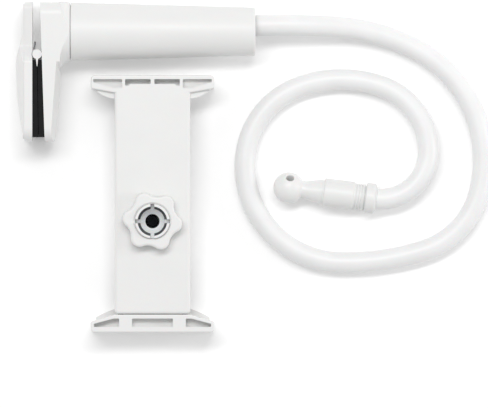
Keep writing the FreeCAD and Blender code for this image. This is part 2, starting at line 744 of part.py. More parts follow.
def round_end(outer, inner, place, direction):
    """The half-ball end of a link: a tube or rod trimmed to a ball of the arm's radius."""

    def reach(radius):
        return math.sqrt(max(arm_r ** 2 - radius ** 2, 0.0))

    corner = V(reach(outer), outer, 0)
    tip = V(reach(inner), inner, 0)
    lean = (math.atan2(corner.y, corner.x) + math.atan2(tip.y, tip.x)) / 2
    crown = Part.Arc(corner, V(arm_r * math.cos(lean), arm_r * math.sin(lean), 0), tip)
    edges = [crown.toShape()]
    straight = [tip, V(0, inner, 0), V(0, outer, 0)]
    if reach(outer) > 0:
        straight.append(corner)
    edges += Part.makePolygon(straight).Edges
    solid = Part.Face(Part.Wire(edges)).revolve(V(0, 0, 0), X_DIR, 360)
    solid.Placement = FreeCAD.Placement(place, FreeCAD.Rotation(X_DIR, direction))
    return solid


def arm_link(index, outer, inner, straight=0.0, last=False):
    """One link: an arc of tube or rod, cupped at its start and round at its end."""
    frames = arm_frames()
    start, along = frames[index]
    end, onward = frames[index + 1]
    bend = along.getAngle(onward)
    radius = ARM_LINK / bend
    inward = (onward - along * along.dot(onward)).normalize()
    centre = start + inward * radius
    axle = along.cross(inward)

    def section(place, direction):
        disc = Part.Face(Part.Wire(Part.makeCircle(outer, place, direction)))
        if inner > 0:
            disc = disc.cut(Part.Face(Part.Wire(Part.makeCircle(inner, place, direction))))
        return disc

    link = section(start, along).revolve(centre, axle, math.degrees(bend))
    if index > 0:
        link = link.cut(Part.makeSphere(arm_r + LINK_GAP, start))
    pieces = [link]
    if straight > 0:
        pieces.append(section(start - along * straight, along).extrude(along * straight))
    if not last:
        pieces.append(round_end(outer, inner, end, onward))
    return fuse_all(pieces)


def end_line():
    frames = arm_frames()
    return frames[-1]


# Fitting at the arm's end

def end_collar():
    start, along = end_line()
    big = COLLAR_D / 2
    tail = COLLAR_TAIL_D / 2
    length = COLLAR_LENGTH
    return turned([
        (-1.2, arm_r, 0.0),
        (-1.2, arm_r + 0.5, 0.0),
        (0.0, big, 0.8),
        (length, big, 0.6),
        (length, tail, 0.0),
        (length + COLLAR_TAIL, tail, 0.4),
        (length + COLLAR_TAIL, arm_r - 1.0, 0.0),
        (0.0, arm_r - 1.0, 0.0),
        (0.0, arm_r, 0.0),
    ], start, along)


def end_housing():
    start, along = end_line()
    big = HOUSING_D / 2
    small = RIBBED_D / 2
    low = COLLAR_LENGTH + GROOVE_WIDTH
    high = low + HOUSING_LENGTH
    step = low + RIBBED_LENGTH
    tail = COLLAR_TAIL_D / 2 + SLIP_FIT / 3
    tail_end = COLLAR_LENGTH + COLLAR_TAIL + 0.4
    profile = [(low, tail, 0.0), (low, small, 0.4)]
    pitch = (RIBBED_LENGTH - 1.2) / RIB_GROOVES
    for i in range(RIB_GROOVES):
        at = low + 1.0 + pitch * (i + 0.5)
        profile += [
            (at - 0.5, small, 0.0),
            (at - 0.2, small - RIB_GROOVE_DEPTH, 0.0),
            (at + 0.2, small - RIB_GROOVE_DEPTH, 0.0),
            (at + 0.5, small, 0.0),
        ]
    profile += [
        (step, small, 0.0),
        (step + 0.5, big, 0.5),
        (high, big, 0.8),
        (high, SPIGOT_STEM_D / 2 + SLIP_FIT / 3, 0.0),
        (tail_end, SPIGOT_STEM_D / 2 + SLIP_FIT / 3, 0.0),
        (tail_end, tail, 0.0),
    ]
    return turned(profile, start, along)


def ball_stem():
    start, along = end_line()
    foot = COLLAR_LENGTH + GROOVE_WIDTH + HOUSING_LENGTH
    waist = foot + STEM_LENGTH
    spigot = SPIGOT_STEM_D / 2
    stem = turned([
        (foot - 12.0, 0.0, 0.0),
        (foot - 12.0, spigot, 0.6),
        (foot, spigot, 0.0),
        (foot, STEM_ROOT_D / 2 - 0.1, 0.0),
        (foot + 1.4, STEM_ROOT_D / 2, 0.8),
        (waist, STEM_NECK_D / 2, 6.0),
        (BALL_FROM_ARM, STEM_NECK_D / 2 - 0.2, 0.0),
        (BALL_FROM_ARM, 0.0, 0.0),
    ], start, along)
    centre = start + along * BALL_FROM_ARM
    tilt = math.radians(BALL_HOLE_TILT)
    side = V(along.y, -along.x, 0).normalize()
    if side.y < 0:
        side = side * -1
    out = side * math.sin(tilt) + Z_DIR * math.cos(tilt)
    ball = fuse_all([stem, Part.makeSphere(ball_r, centre)])
    hole = cylinder(BALL_HOLE_D / 2, centre + out * (ball_r - BALL_HOLE_DEPTH), out,
                    BALL_HOLE_DEPTH + CUT_OVER)
    rim = Part.makeCone(BALL_HOLE_D / 2, BALL_HOLE_D / 2 + 1.0, 1.0,
                        centre + out * (ball_r - 0.75), out)
    return cut_all(ball, [hole, rim])


# Holder

def hx(offset):
    """X of a place on the holder, from its middle line."""
    return HOLDER_X + offset


def mirrored(corners):
    """The same outline on the other side of the holder's middle line."""
    return [(2 * HOLDER_X - x, y, radius) for x, y, radius in reversed(corners)]


def lip(face_y, wall_y, sign, half_width):
    """A lip plate: straight along its jaw, bowed towards the tablet."""
    start_x = half_width - LIP_CORNER
    shoulder = wall_y - sign * 1.0
    bow = Part.Arc(
        V(hx(-start_x), shoulder, 0),
        V(hx(0), face_y - sign * LIP_REACH, 0),
        V(hx(start_x), shoulder, 0)).toShape()
    back_y = wall_y + sign * 3.0
    sides = Part.makePolygon([
        V(hx(start_x), shoulder, 0), V(hx(start_x), back_y, 0),
        V(hx(-start_x), back_y, 0), V(hx(-start_x), shoulder, 0)])
    plate = Part.Face(Part.Wire([bow] + sides.Edges)).extrude(V(0, 0, LIP_THICKNESS))
    return plate


def body_outline(y0, y1, inset=0.0):
    half = BODY_WIDTH / 2 - inset
    radius = max(BODY_CORNER_R - inset, 0.4)
    return rectangle(hx(-half), y0, hx(half), y1, radius)


def screw_post(x, y, z0, z1, bore):
    post = cylinder(POST_D / 2, V(hx(x), y, z0), Z_DIR, z1 - z0)
    return post.cut(cylinder(bore / 2, V(hx(x), y, z0 - 1), Z_DIR, z1 - z0 + 2))


def jaw_wing(side):
    """A curved web that joins the fixed jaw's arm to the body's side."""
    body_half = BODY_WIDTH / 2
    tip_x = JAW_WIDTH / 2 - WING_FROM_END
    root_y = JAW_FACE_Y - WING_ROOT_DROP
    tip_y = JAW_FACE_Y + WING_TIP_RISE
    inner_x = body_half - BODY_WALL / 2
    back_y = jaw_end_y + 0.5
    belly = V(hx(side * (body_half + tip_x) / 2), JAW_FACE_Y - WING_BELLY_DROP, 0)
    edge = Part.Arc(V(hx(side * tip_x), tip_y, 0), belly, V(hx(side * body_half), root_y, 0))
    rest = Part.makePolygon([
        V(hx(side * body_half), root_y, 0), V(hx(side * inner_x), root_y, 0),
        V(hx(side * inner_x), back_y, 0), V(hx(side * tip_x), back_y, 0),
        V(hx(side * tip_x), tip_y, 0)])
    wing = Part.Face(Part.Wire([edge.toShape()] + rest.Edges)).extrude(
        V(0, 0, WING_THICKNESS))
    wing.translate(V(0, 0, BODY_SPLIT_Z + MOVING_GAP))
    return wing


def holder_back_shell():
    half = JAW_WIDTH / 2
    body_half = BODY_WIDTH / 2
    wall = BODY_WALL
    body = prism(body_outline(BODY_END_Y, body_top_y), BODY_SPLIT_Z, BODY_BACK_Z)
    top_edges = edges_at(body, lambda p: abs(p.z - BODY_BACK_Z) < 0.01)
    body = body.makeFillet(BODY_EDGE_R, top_edges)
    hollow = prism(
        body_outline(BODY_END_Y + wall, JAW_FACE_Y - wall, wall),
        BODY_SPLIT_Z - CUT_OVER, BODY_BACK_Z - wall)
    body = body.cut(hollow)
    jaw = prism([
        (hx(-half), jaw_top_y, JAW_BLOCK_R),
        (hx(-half), jaw_end_y, 1.0),
        (hx(-body_half), JAW_FACE_Y, 2.0),
        (hx(body_half), JAW_FACE_Y, 2.0),
        (hx(half), jaw_end_y, 1.0),
        (hx(half), jaw_top_y, JAW_BLOCK_R),
    ], 0, BODY_BACK_Z)
    jaw = jaw.makeFillet(0.8, edges_at(jaw, lambda p: abs(p.z - BODY_BACK_Z) < 0.01))
    shell = fuse_all([body, jaw, lip(JAW_FACE_Y, jaw_end_y, 1, half),
                      jaw_wing(-1), jaw_wing(1)])
    high = jaw_top_y - POCKET_TOP_MARGIN
    low = high - POCKET_HEIGHT
    rib = POCKET_RIB / 2
    inner_end = rib + INNER_POCKET
    inner = [
        (hx(rib), high, 0.5),
        (hx(rib), low, 0.5),
        (hx(inner_end - POCKET_NOTCH_WIDTH - 0.6), low, 0.5),
        (hx(inner_end - POCKET_NOTCH_WIDTH), low - POCKET_NOTCH_DROP, 0.4),
        (hx(inner_end), low - POCKET_NOTCH_DROP, 0.5),
        (hx(inner_end), high, 0.5),
    ]
    outer_x = inner_end + POCKET_BETWEEN
    outer_end = half - POCKET_END_WALL
    outer = [
        (hx(outer_x), high, 0.8),
        (hx(outer_x), low - POCKET_DEEP, 1.0),
        (hx(outer_x + POCKET_FLAT), low - POCKET_DEEP, 4.0),
        (hx(outer_end), low + POCKET_TIP_RISE, 0.5),
        (hx(outer_end), high, 0.5),
    ]
    tools = []
    for corners, floor in ((inner, INNER_POCKET_FLOOR), (outer, OUTER_POCKET_FLOOR)):
        tools.append(prism(corners, floor, BODY_BACK_Z + CUT_OVER))
        tools.append(prism(mirrored(corners), floor, BODY_BACK_Z + CUT_OVER))
    shell = cut_all(shell, tools)
    boss = cylinder(COLLET_FOOT_D / 2 + wall, V(socket_x, SOCKET_Y, COLLET_FOOT_Z - 1.5),
                    Z_DIR, BODY_BACK_Z - wall - COLLET_FOOT_Z + 1.7)
    post_low = BODY_SPLIT_Z + MOVING_GAP
    posts = [
        screw_post(x, y, post_low, BODY_BACK_Z - wall + 0.2, SCREW_D) for x, y in case_screw_places
    ]
    shell = fuse_all([shell, boss] + posts)
    seat = cylinder(COLLET_FOOT_D / 2 + SLIP_FIT, V(socket_x, SOCKET_Y, COLLET_FOOT_Z),
                    Z_DIR, BODY_BACK_Z)
    well = cylinder(WELL_D / 2 + SLIP_FIT, V(socket_x, SOCKET_Y, WELL_FLOOR_Z),
                    Z_DIR, BODY_BACK_Z - WELL_FLOOR_Z)
    return cut_all(shell, [seat, well]).removeSplitter()


def holder_front_shell():
    wall = BODY_WALL
    body = prism(body_outline(BODY_END_Y, JAW_FACE_Y - 0.1), BODY_FACE_Z, BODY_SPLIT_Z)
    face_edges = edges_at(body, lambda p: abs(p.z - BODY_FACE_Z) < 0.01)
    body = body.makeFillet(1.0, face_edges)
    body = body.cut(prism(
        body_outline(BODY_END_Y + wall, JAW_FACE_Y - 0.1 - wall, wall),
        BODY_FACE_Z + wall, BODY_SPLIT_Z + CUT_OVER))
    slot_half = fork_half + MOVING_GAP
    rail_top = FORK_Z + FORK_THICKNESS
    inside = BODY_WIDTH / 2 - wall
    rails = []
    for side in (-1, 1):
        x0, x1 = sorted((hx(side * slot_half), hx(side * (inside + wall / 2))))
        rails.append(block(x0, BODY_END_Y + wall / 2, BODY_FACE_Z + wall / 2,
                           x1, FORK_TOP_Y + RAIL_PAST_FORK, rail_top))
    posts = [
        screw_post(x, y, BODY_FACE_Z + wall / 2, BODY_SPLIT_Z, SCREW_D)
        for x, y in case_screw_places
    ]
    centre = cylinder(WELL_D / 2, V(socket_x, SOCKET_Y, BODY_FACE_Z + wall / 2), Z_DIR,
                      WELL_FLOOR_Z - BODY_FACE_Z - wall / 2)
    hooks = [
        cylinder(HOOK_R, V(hx(side * return_x), RETURN_TOP_Y - 1 + HOOK_BEYOND,
                           BODY_FACE_Z + wall / 2), Z_DIR,
                 BODY_SPLIT_Z - BODY_FACE_Z - wall / 2)
        for side in (-1, 1)
    ]
    body = fuse_all([body, centre] + rails + posts + hooks)
    tools = [
        block(hx(-slot_half), BODY_END_Y - 1, FORK_Z - MOVING_GAP,
              hx(slot_half), BODY_END_Y + wall + 1, BODY_SPLIT_Z + 1),
        cylinder(SCREW_D / 2, V(socket_x, SOCKET_Y, SEAT_SCREW_END_Z), Z_DIR, SCREW_HOLE_DEPTH),
    ]
    for x, y in case_screw_places:
        tools.append(cylinder(SCREW_HEAD_D / 2 + SLIP_FIT, V(hx(x), y, BODY_FACE_Z - 1),
                              Z_DIR, SCREW_HEAD + 1))
        tools.append(cylinder(SCREW_D / 2, V(hx(x), y, BODY_FACE_Z - 1), Z_DIR,
                              SCREW_HOLE_DEPTH))
    for strip in front_strip_outlines():
        tools.append(prism(strip, BODY_FACE_Z - 1, BODY_FACE_Z + FRONT_STRIP_SUNK))
    return cut_all(body, tools).removeSplitter()


def front_strip_outlines():
    """Two rubber strips across the front face, clear of the screws."""
    half = BODY_WIDTH / 2 - FRONT_STRIP_INSET
    strips = []
    for y in FRONT_STRIPS_Y:
        strips.append(rectangle(hx(-half), y, hx(half), y + FRONT_STRIP_WIDTH, 2.0))
    return strips


def front_strips():
    low = BODY_FACE_Z - FRONT_STRIP_PROUD
    high = BODY_FACE_Z + FRONT_STRIP_SUNK
    return Part.makeCompound([prism(strip, low, high) for strip in front_strip_outlines()])


def sliding_jaw():
    half = JAW_WIDTH / 2
    body_half = BODY_WIDTH / 2
    bottom = slide_bottom_y
    face = slide_face_y
    end = face - SLIDE_JAW_END_DROP
    wall = prism([
        (hx(-half), bottom, 1.6),
        (hx(-half), end, 1.0),
        (hx(-body_half), face, 1.0),
        (hx(body_half), face, 1.0),
        (hx(half), end, 1.0),
        (hx(half), bottom, 1.6),
    ], 0, BODY_BACK_Z)
    wall = wall.makeFillet(0.8, edges_at(wall, lambda p: abs(p.z - BODY_BACK_Z) < 0.01))
    plate = lip(face, end + 1.4, -1, half)
    fork = prism([
        (hx(-fork_half), face - 2, 0.0),
        (hx(fork_half), face - 2, 0.0),
        (hx(fork_half), FORK_TOP_Y, tine_tip_r),
        (hx(fork_slot_half), FORK_TOP_Y, tine_tip_r),
        (hx(fork_slot_half), FORK_ROOT_Y, 2.0),
        (hx(-fork_slot_half), FORK_ROOT_Y, 2.0),
        (hx(-fork_slot_half), FORK_TOP_Y, tine_tip_r),
        (hx(-fork_half), FORK_TOP_Y, tine_tip_r),
    ], FORK_Z, FORK_Z + FORK_THICKNESS)
    pins = [
        cylinder(HOOK_R, V(hx(side * return_x), FORK_ROOT_Y + 1 - HOOK_BEYOND, FORK_Z + 1),
                 Z_DIR, HOOK_HEIGHT)
        for side in (-1, 1)
    ]
    jaw = fuse_all([wall, plate, fork] + pins)
    high = face - WINDOW_WALL
    low = high - WINDOW_HEIGHT
    outer_end = half - SIDE_WINDOW_END_WALL
    centre = rectangle(hx(-CENTRE_WINDOW / 2), low, hx(CENTRE_WINDOW / 2), high, 0.6)
    side = [
        (hx(SIDE_WINDOW_FROM), low, 0.5),
        (hx(outer_end), low, 0.5),
        (hx(outer_end), low + SIDE_WINDOW_RISE, 0.5),
        (hx(SIDE_WINDOW_FROM + 3.0), high, 0.5),
        (hx(SIDE_WINDOW_FROM), high, 0.5),
    ]
    tools = [prism(corners, WINDOW_FLOOR, BODY_BACK_Z + 1)
             for corners in (centre, side, mirrored(side))]
    return cut_all(jaw, tools).removeSplitter()


def return_springs():
    wire_r = RETURN_WIRE / 2
    mean_r = RETURN_COIL_D / 2 - wire_r
    low_y = FORK_ROOT_Y + 1.0
    length = RETURN_TOP_Y - 1.0 - low_y
    z = FORK_Z + FORK_THICKNESS - 0.4
    springs = []
    for side in (-1, 1):
        winding = coil(V(hx(side * return_x), low_y, z), Y_DIR, mean_r, wire_r,
                       length / RETURN_TURNS, length)
        springs.append(winding)
    return Part.makeCompound(springs)


def jaw_strip(face_y, sign):
    """A ribbed rubber strip on a jaw's inner face."""
    depth = STRIP_THICKNESS
    step = (STRIP_TOP_Z - STRIP_BOTTOM_Z) / STRIP_RIBS
    corners = [(face_y, STRIP_TOP_Z, 0.0), (face_y, STRIP_BOTTOM_Z, 0.0)]
    for i in range(STRIP_RIBS):
        z = STRIP_BOTTOM_Z + step * i
        corners += [
            (face_y - sign * (depth - 0.5), z + 0.05, 0.0),
            (face_y - sign * depth, z + step * 0.3, 0.0),
            (face_y - sign * depth, z + step * 0.7, 0.0),
            (face_y - sign * (depth - 0.5), z + step - 0.05, 0.0),
        ]
    return prism_along_x(corners, hx(-strip_half), hx(strip_half))


# Ball socket

def socket(radius, z0, z1):
    return cylinder(radius, V(socket_x, SOCKET_Y, z0), Z_DIR, z1 - z0)


def ball_space():
    return Part.makeSphere(ball_r + BALL_CLEAR, V(socket_x, SOCKET_Y, ball_seat_z))


def ball_collet():
    tower = socket(COLLET_D / 2, COLLET_FOOT_Z, COLLET_TOP_Z)
    tower = tower.makeFillet(0.5, edges_at(tower, lambda p: abs(p.z - COLLET_TOP_Z) < 0.01))
    foot = socket(COLLET_FOOT_D / 2, COLLET_FOOT_Z, BODY_BACK_Z + 0.1)
    well = socket(WELL_D / 2, WELL_FLOOR_Z, COLLET_FOOT_Z + 1)
    body = fuse_all([tower, foot, well])
    tools = [
        ball_space(),
        socket(MOUTH_D / 2, ball_seat_z + 1, COLLET_TOP_Z + 1),
        socket(RING_D / 2 + SLIP_FIT / 3, SLOT_BOTTOM_Z, ball_seat_z),
        socket(WELL_BORE_D / 2, WELL_FLOOR_Z + WELL_FLOOR, ball_seat_z),
        socket(SCREW_D / 2 + SLIP_FIT, WELL_FLOOR_Z - 1, ball_seat_z),
    ]
    reach = COLLET_D / 2 + 1
    for dx, dy in ((reach, SLOT_WIDTH / 2), (SLOT_WIDTH / 2, reach)):
        tools.append(block(socket_x - dx, SOCKET_Y - dy, SLOT_BOTTOM_Z,
                           socket_x + dx, SOCKET_Y + dy, COLLET_TOP_Z + 1))
    return cut_all(body, tools)


def ball_seat_ring():
    seat = socket(RING_D / 2, SLOT_BOTTOM_Z, TAB_TOP_Z)
    reach = COLLET_D / 2 - TAB_CLEAR
    half = SLOT_WIDTH / 2 - TAB_CLEAR
    tabs = [
        block(socket_x - dx, SOCKET_Y - dy, SLOT_BOTTOM_Z, socket_x + dx, SOCKET_Y + dy,
              TAB_TOP_Z)
        for dx, dy in ((reach, half), (half, reach))
    ]
    body = fuse_all([seat] + tabs).common(socket(reach, SLOT_BOTTOM_Z, TAB_TOP_Z))
    return cut_all(body, [
        ball_space(),
        socket(RING_BORE_D / 2, SLOT_BOTTOM_Z - 1, TAB_TOP_Z + 1),
    ])


def seat_screw():
    floor = WELL_FLOOR_Z + WELL_FLOOR
    head = socket(SEAT_SCREW_HEAD_D / 2, floor, floor + SEAT_SCREW_HEAD)
    head = head.makeFillet(0.6, edges_at(head, lambda p: p.z > floor + SEAT_SCREW_HEAD - 0.01))
    shank = socket(SCREW_D / 2, SEAT_SCREW_END_Z, floor)
    centre = V(socket_x, SOCKET_Y, 0)
    cross = [
        block(centre.x - dx, centre.y - dy, floor + SEAT_SCREW_HEAD - 1.1,
              centre.x + dx, centre.y + dy, floor + SEAT_SCREW_HEAD + 1)
        for dx, dy in ((1.9, 0.45), (0.45, 1.9))
    ]
    return cut_all(fuse_all([head, shank]), cross)


def case_screws():
    screws = []
    for x, y in case_screw_places:
        head = cylinder(SCREW_HEAD_D / 2, V(hx(x), y, BODY_FACE_Z), Z_DIR, SCREW_HEAD)
        shank = cylinder(SCREW_D / 2, V(hx(x), y, BODY_FACE_Z + SCREW_HEAD / 2), Z_DIR,
                         SCREW_LENGTH - SCREW_HEAD / 2)
        screw = fuse_all([head, shank])
        cross = [
            block(hx(x) - dx, y - dy, BODY_FACE_Z - 1, hx(x) + dx, y + dy, BODY_FACE_Z + 0.9)
            for dx, dy in ((1.7, 0.4), (0.4, 1.7))
        ]
        screws.append(cut_all(screw, cross))
    return Part.makeCompound(screws)


def ball_lock_nut():
    middle = (NUT_LOBE_R + NUT_VALLEY_R) / 2
    depth = (NUT_LOBE_R - NUT_VALLEY_R) / 2
    step = 360.0 / NUT_LOBES
    edges = []
    for i in range(NUT_LOBES):
        lobe = math.radians(NUT_FIRST_LOBE + i * step)
        points = []
        for radius, turn in ((middle, -0.25), (NUT_LOBE_R, 0.0), (middle, 0.25),
                             (NUT_VALLEY_R, 0.5), (middle, 0.75)):
            angle = lobe + math.radians(turn * step)
            points.append(V(radius * math.cos(angle), radius * math.sin(angle), 0))
        edges.append(Part.Arc(points[0], points[1], points[2]).toShape())
        edges.append(Part.Arc(points[2], points[3], points[4]).toShape())
    body = Part.Face(Part.Wire(edges)).extrude(V(0, 0, NUT_TOP_Z - NUT_BOTTOM_Z))
    body.translate(V(socket_x, SOCKET_Y, NUT_BOTTOM_Z))
    top = edges_at(body, lambda p: abs(p.z - NUT_TOP_Z) < 0.01)
    body = body.makeFillet(min(1.4, depth), top)
    bore = socket(COLLET_D / 2 + RUNNING_FIT, NUT_BOTTOM_Z - 1, NUT_TOP_Z + 1)
    mouth = Part.makeCone(COLLET_D / 2, COLLET_D / 2 + 1.6, 1.6,
                          V(socket_x, SOCKET_Y, NUT_TOP_Z - 1.0), Z_DIR)
    return cut_all(body, [bore, mouth])


def main():
    os.makedirs("parts", exist_ok=True)
    write("clamp_fixed_jaw", clamp_fixed_jaw())
    write("clamp_moving_jaw", clamp_moving_jaw())
    write("clamp_pivot_pin", clamp_pivot_pin())
    write("clamp_spring", clamp_spring())
    moving_pad, fixed_pad = clamp_pads()
    write("clamp_moving_pad", moving_pad)
    write("clamp_fixed_pad", fixed_pad)
    write("grip_sleeve", grip_sleeve())
    write("root_ferrule", root_ferrule())
    write("root_grub_screw", grub_screw())
    links = len(ARM_TURNS)
    for i in range(links):
        straight = arm_root if i == 0 else 0.0
        last = i == links - 1
        number = "%02d" % (i + 1)
        write("arm_sleeve_" + number, arm_link(i, arm_r, core_r + SLIP_FIT, straight, last))
        write("arm_core_" + number, arm_link(i, core_r, 0.0, straight, last))
    write("end_collar", end_collar())
    write("end_housing", end_housing())
    write("ball_stem", ball_stem())
    write("holder_back_shell", holder_back_shell())
    write("holder_front_shell", holder_front_shell())
    write("front_strips", front_strips())
    write("sliding_jaw", sliding_jaw())
    write("fixed_jaw_strip", jaw_strip(JAW_FACE_Y, 1))
    write("sliding_jaw_strip", jaw_strip(slide_face_y, -1))
    write("return_springs", return_springs())
    write("ball_collet", ball_collet())
    write("ball_seat_ring", ball_seat_ring())
    write("seat_screw", seat_screw())
    write("case_screws", case_screws())
    write("ball_lock_nut", ball_lock_nut())


main()
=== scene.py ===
import json
import math

import bmesh
import bpy
from bpy.props import FloatProperty, FloatVectorProperty, IntProperty, PointerProperty
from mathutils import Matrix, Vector


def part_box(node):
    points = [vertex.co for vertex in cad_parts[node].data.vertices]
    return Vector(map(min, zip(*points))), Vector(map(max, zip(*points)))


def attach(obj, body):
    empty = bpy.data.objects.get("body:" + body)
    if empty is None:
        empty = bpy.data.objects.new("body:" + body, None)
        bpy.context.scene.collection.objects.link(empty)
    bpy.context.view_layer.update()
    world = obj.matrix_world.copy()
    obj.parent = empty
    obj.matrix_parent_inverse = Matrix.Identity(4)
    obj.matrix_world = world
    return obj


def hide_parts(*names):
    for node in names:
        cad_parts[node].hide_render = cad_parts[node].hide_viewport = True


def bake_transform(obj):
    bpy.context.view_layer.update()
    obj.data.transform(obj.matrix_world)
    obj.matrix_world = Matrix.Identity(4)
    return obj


bl_info = {
    "name": "Gooseneck tablet stand",
    "version": (1, 0, 0),
    "blender": (4, 5, 0),
    "location": "View3D > Sidebar > Stand",
    "description": "Dresses the packed gooseneck stand in its plastics and lays it "
                   "on a pale table",
    "category": "Object",
}

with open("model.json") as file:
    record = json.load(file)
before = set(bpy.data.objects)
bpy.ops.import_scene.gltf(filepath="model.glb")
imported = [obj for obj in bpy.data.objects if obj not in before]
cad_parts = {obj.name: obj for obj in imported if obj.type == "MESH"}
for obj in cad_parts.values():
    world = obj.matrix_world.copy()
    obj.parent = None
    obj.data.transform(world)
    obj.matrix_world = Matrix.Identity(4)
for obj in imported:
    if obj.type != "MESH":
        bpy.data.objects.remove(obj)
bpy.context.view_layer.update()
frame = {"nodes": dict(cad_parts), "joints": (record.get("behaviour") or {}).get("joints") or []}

NODES = frame["nodes"]
MM = 0.001

# Places that the part's source gives, in metres
ARM_MOUTH = Vector((0.0, 0.0775, 0.016))      # where the arm leaves the grip
ARM_HEADING = math.radians(2.2)
ARM_END = Vector((0.065338, -0.017503, 0.0085))
ARM_ROOT = 0.097                              # straight part inside the grip
HINGE = Vector((-0.1197, 0.0618, 0.016))      # middle of the clamp's hinge pin
HOLDER_X = -0.0565                            # the holder's long middle line
SOCKET = Vector((-0.0565, -0.02975, 0.031106))    # middle of the ball's place in the socket
BALL_SPACE_R = 0.0086                         # radius of the collet's round wall
SLOT_HALF = 0.00105                           # half the width of a slot in the collet
BAND_DEPTHS = (5.25 * MM, 2.95 * MM)          # lower and upper edge of the dark band, painted shade on the socket's wall
SEAL_FLOOR = 0.01861                          # the face that the screw's seal lies on
SEAL_RADII = (0.00324, 0.0046)                # inside and outside of that seal

# What the scene's own pieces add to that
PAD_RIBS = 13
RIB_STEPS = 10                                # mesh rows over one rib
RIB_END = 0.05 * MM                           # length over which a rib drops to the border
HINGE_TURNS = -5.5                            # negative, because it is wound left
RETURN_TURNS = 46
HOOK_R = 1.5 * MM                             # eyes of the return springs
HOOK_RISE = 2.0 * MM                          # from the last turn to the middle of the eye
BAND_GAP = 0.1 * MM                           # between the band and each slot of the collet
BAND_SINK = 0.2 * MM                          # how deep the band sits in the collet's wall
SHARP_ANGLE = math.radians(35)                # edges beyond it aren't smoothed

# The stage
VIEW_CENTRE = Vector((-0.0063, -0.0203, 0.0))
TABLE_REACH = 9.0
WORLD_STRENGTH = 0.58
LIGHTS = (                                    # name, place, width, height, power in watts
    ("strip_above", Vector((-0.2, 0.74, 1.93)), 1.6, 0.4, 19.5),
    ("softbox_right", Vector((1.5, 0.1, 0.6)), 0.6, 0.5, 6.0),
    ("softbox_left", Vector((-1.6, 0.1, 0.6)), 0.6, 0.5, 1.6),
)


# Sizes and colours

def linear(code):
    """A colour written as sRGB hex, turned into linear light."""
    found = []
    for i in (0, 2, 4):
        c = int(code[i:i + 2], 16) / 255
        found.append(c / 12.92 if c <= 0.04045 else ((c + 0.055) / 1.055) ** 2.4)
    return (*found, 1.0)


def colour(label, code, text):
    """A colour that a user can change, given as sRGB hex."""
    return FloatVectorProperty(
        name=label, description=text, subtype="COLOR", size=4, min=0.0, max=1.0,
        default=linear(code))


def length(label, metres, text):
    """A length that a user can change, in metres."""
    return FloatProperty(
        name=label, description=text, default=metres, min=0.0, unit="LENGTH", precision=5)


class StandSizes(bpy.types.PropertyGroup):
    arm_d: length("Arm diameter", 0.01144, "Outside of the plastic sleeve on the arm")
    arm_bore: length("Sleeve bore", 0.00854, "Inside of the sleeve, round the soft metal core")
    ring_step: length("Ring step", 0.001, "Spacing of the mesh rings along the arm")
    arm_sides: IntProperty(
        name="Arm sides", description="Faces round the arm", default=56, min=12)
    hinge_wire: length("Hinge wire", 0.001, "Wire of the clamp's torsion spring")
    hinge_coil_r: length("Hinge coil radius", 0.0021, "To the middle of the wire")
    hinge_coil_length: length("Hinge coil length", 0.009, "From the first turn to the last")
    jaw_leg: length("Hinge jaw leg", 0.013, "Straight leg inside the fixed jaw")
    lever_leg: length("Hinge lever leg", 0.007, "Straight leg that pushes on the lever")
    pad_inset: length("Pad border", 0.0012, "Plain border of a clamp pad beside its ribs")
    rib_height: length("Pad rib height", 0.0004, "How far the pads' ribs stand out")
    # The band is a dark grey sheet of painted shade on the socket's wall, not a real friction
    # band; this is how far it stands out
    band_proud: length("Band height", 0.00012, "Friction band above the socket's wall")
    return_wire: length("Return wire", 0.0007, "Wire of the springs that pull the lower jaw")
    return_coil_d: length("Return coil diameter", 0.0042, "Outside of those springs")
    frame_width: length("View width", 0.2684, "What the camera sees across the table")
    camera_height: length("Camera height", 8.0, "Above the table, far enough to look flat")


class StandColours(bpy.types.PropertyGroup):
    white: colour("White plastic", "E6E6E5", "Clamp, grip and holder")
    sleeve: colour("Arm sleeve", "ECECEC", "Soft plastic sleeve of the arm")
    ball: colour("Ball", "E9E9E8", "Ball and its conical stem")
    rubber: colour("Rubber", "0C0D0E", "Ribbed pads and strips")
    # Grey of the band of painted shade on the socket's wall, not of a real elastomer
    band: colour("Friction band", "505254", "Elastomer on the wall of the ball socket")
    ring: colour("Seat ring", "EEF0F1", "Grey ring in the ball socket")
    screw: colour("Dark screw", "161719", "Blackened screw heads")
    spring: colour("Spring wire", "C8CACC", "Bright drawn wire and pins")
    core: colour("Soft core", "CDCFD2", "Bendable metal rod in the arm")
    table: colour("Table", "F7F7F7", "Pale paper that the stand lies on")


# Materials

def add(tree, kind, settings=None, links=None):
    """Adds one node; settings name its values, its sockets or the two stops of a ramp,
    and links feed its sockets."""
    made = tree.nodes.new(kind)
    for key, value in (settings or {}).items():
        if key == "stops":
            for stop, (position, held) in zip(made.color_ramp.elements, value):
                stop.position = position
                stop.color = held
        elif hasattr(made, key):
            setattr(made, key, value)
        else:
            made.inputs[key].default_value = value
    for key, source in (links or {}).items():
        tree.links.new(source, made.inputs[key])
    return made


def new_material(name, **shader):
    """A material with a Principled shader and its object's own coordinates."""
    made = bpy.data.materials.new(name)
    made.use_nodes = True
    tree = made.node_tree
    tree.nodes.clear()
    surface = add(tree, "ShaderNodeBsdfPrincipled", {
        key.replace("_", " "): value for key, value in shader.items()})
    add(tree, "ShaderNodeOutputMaterial", None, {"Surface": surface.outputs["BSDF"]})
    place = add(tree, "ShaderNodeTexCoord")
    return made, tree, surface, place


def per_mm(size):
    """Noise scale for features of this size in millimetres."""
    return 1.0 / (size * MM)


def shade(base, share):
    """The same colour with this share of its light."""
    return (base[0] * share, base[1] * share, base[2] * share, 1.0)


def feed(tree, surface, tint, rough, bump):
    """Joins a ramp of tints, a range of roughness and a bump to the shader."""
    tree.links.new(tint.outputs["Color"], surface.inputs["Base Color"])
    tree.links.new(rough.outputs["Result"], surface.inputs["Roughness"])
    tree.links.new(bump.outputs["Normal"], surface.inputs["Normal"])


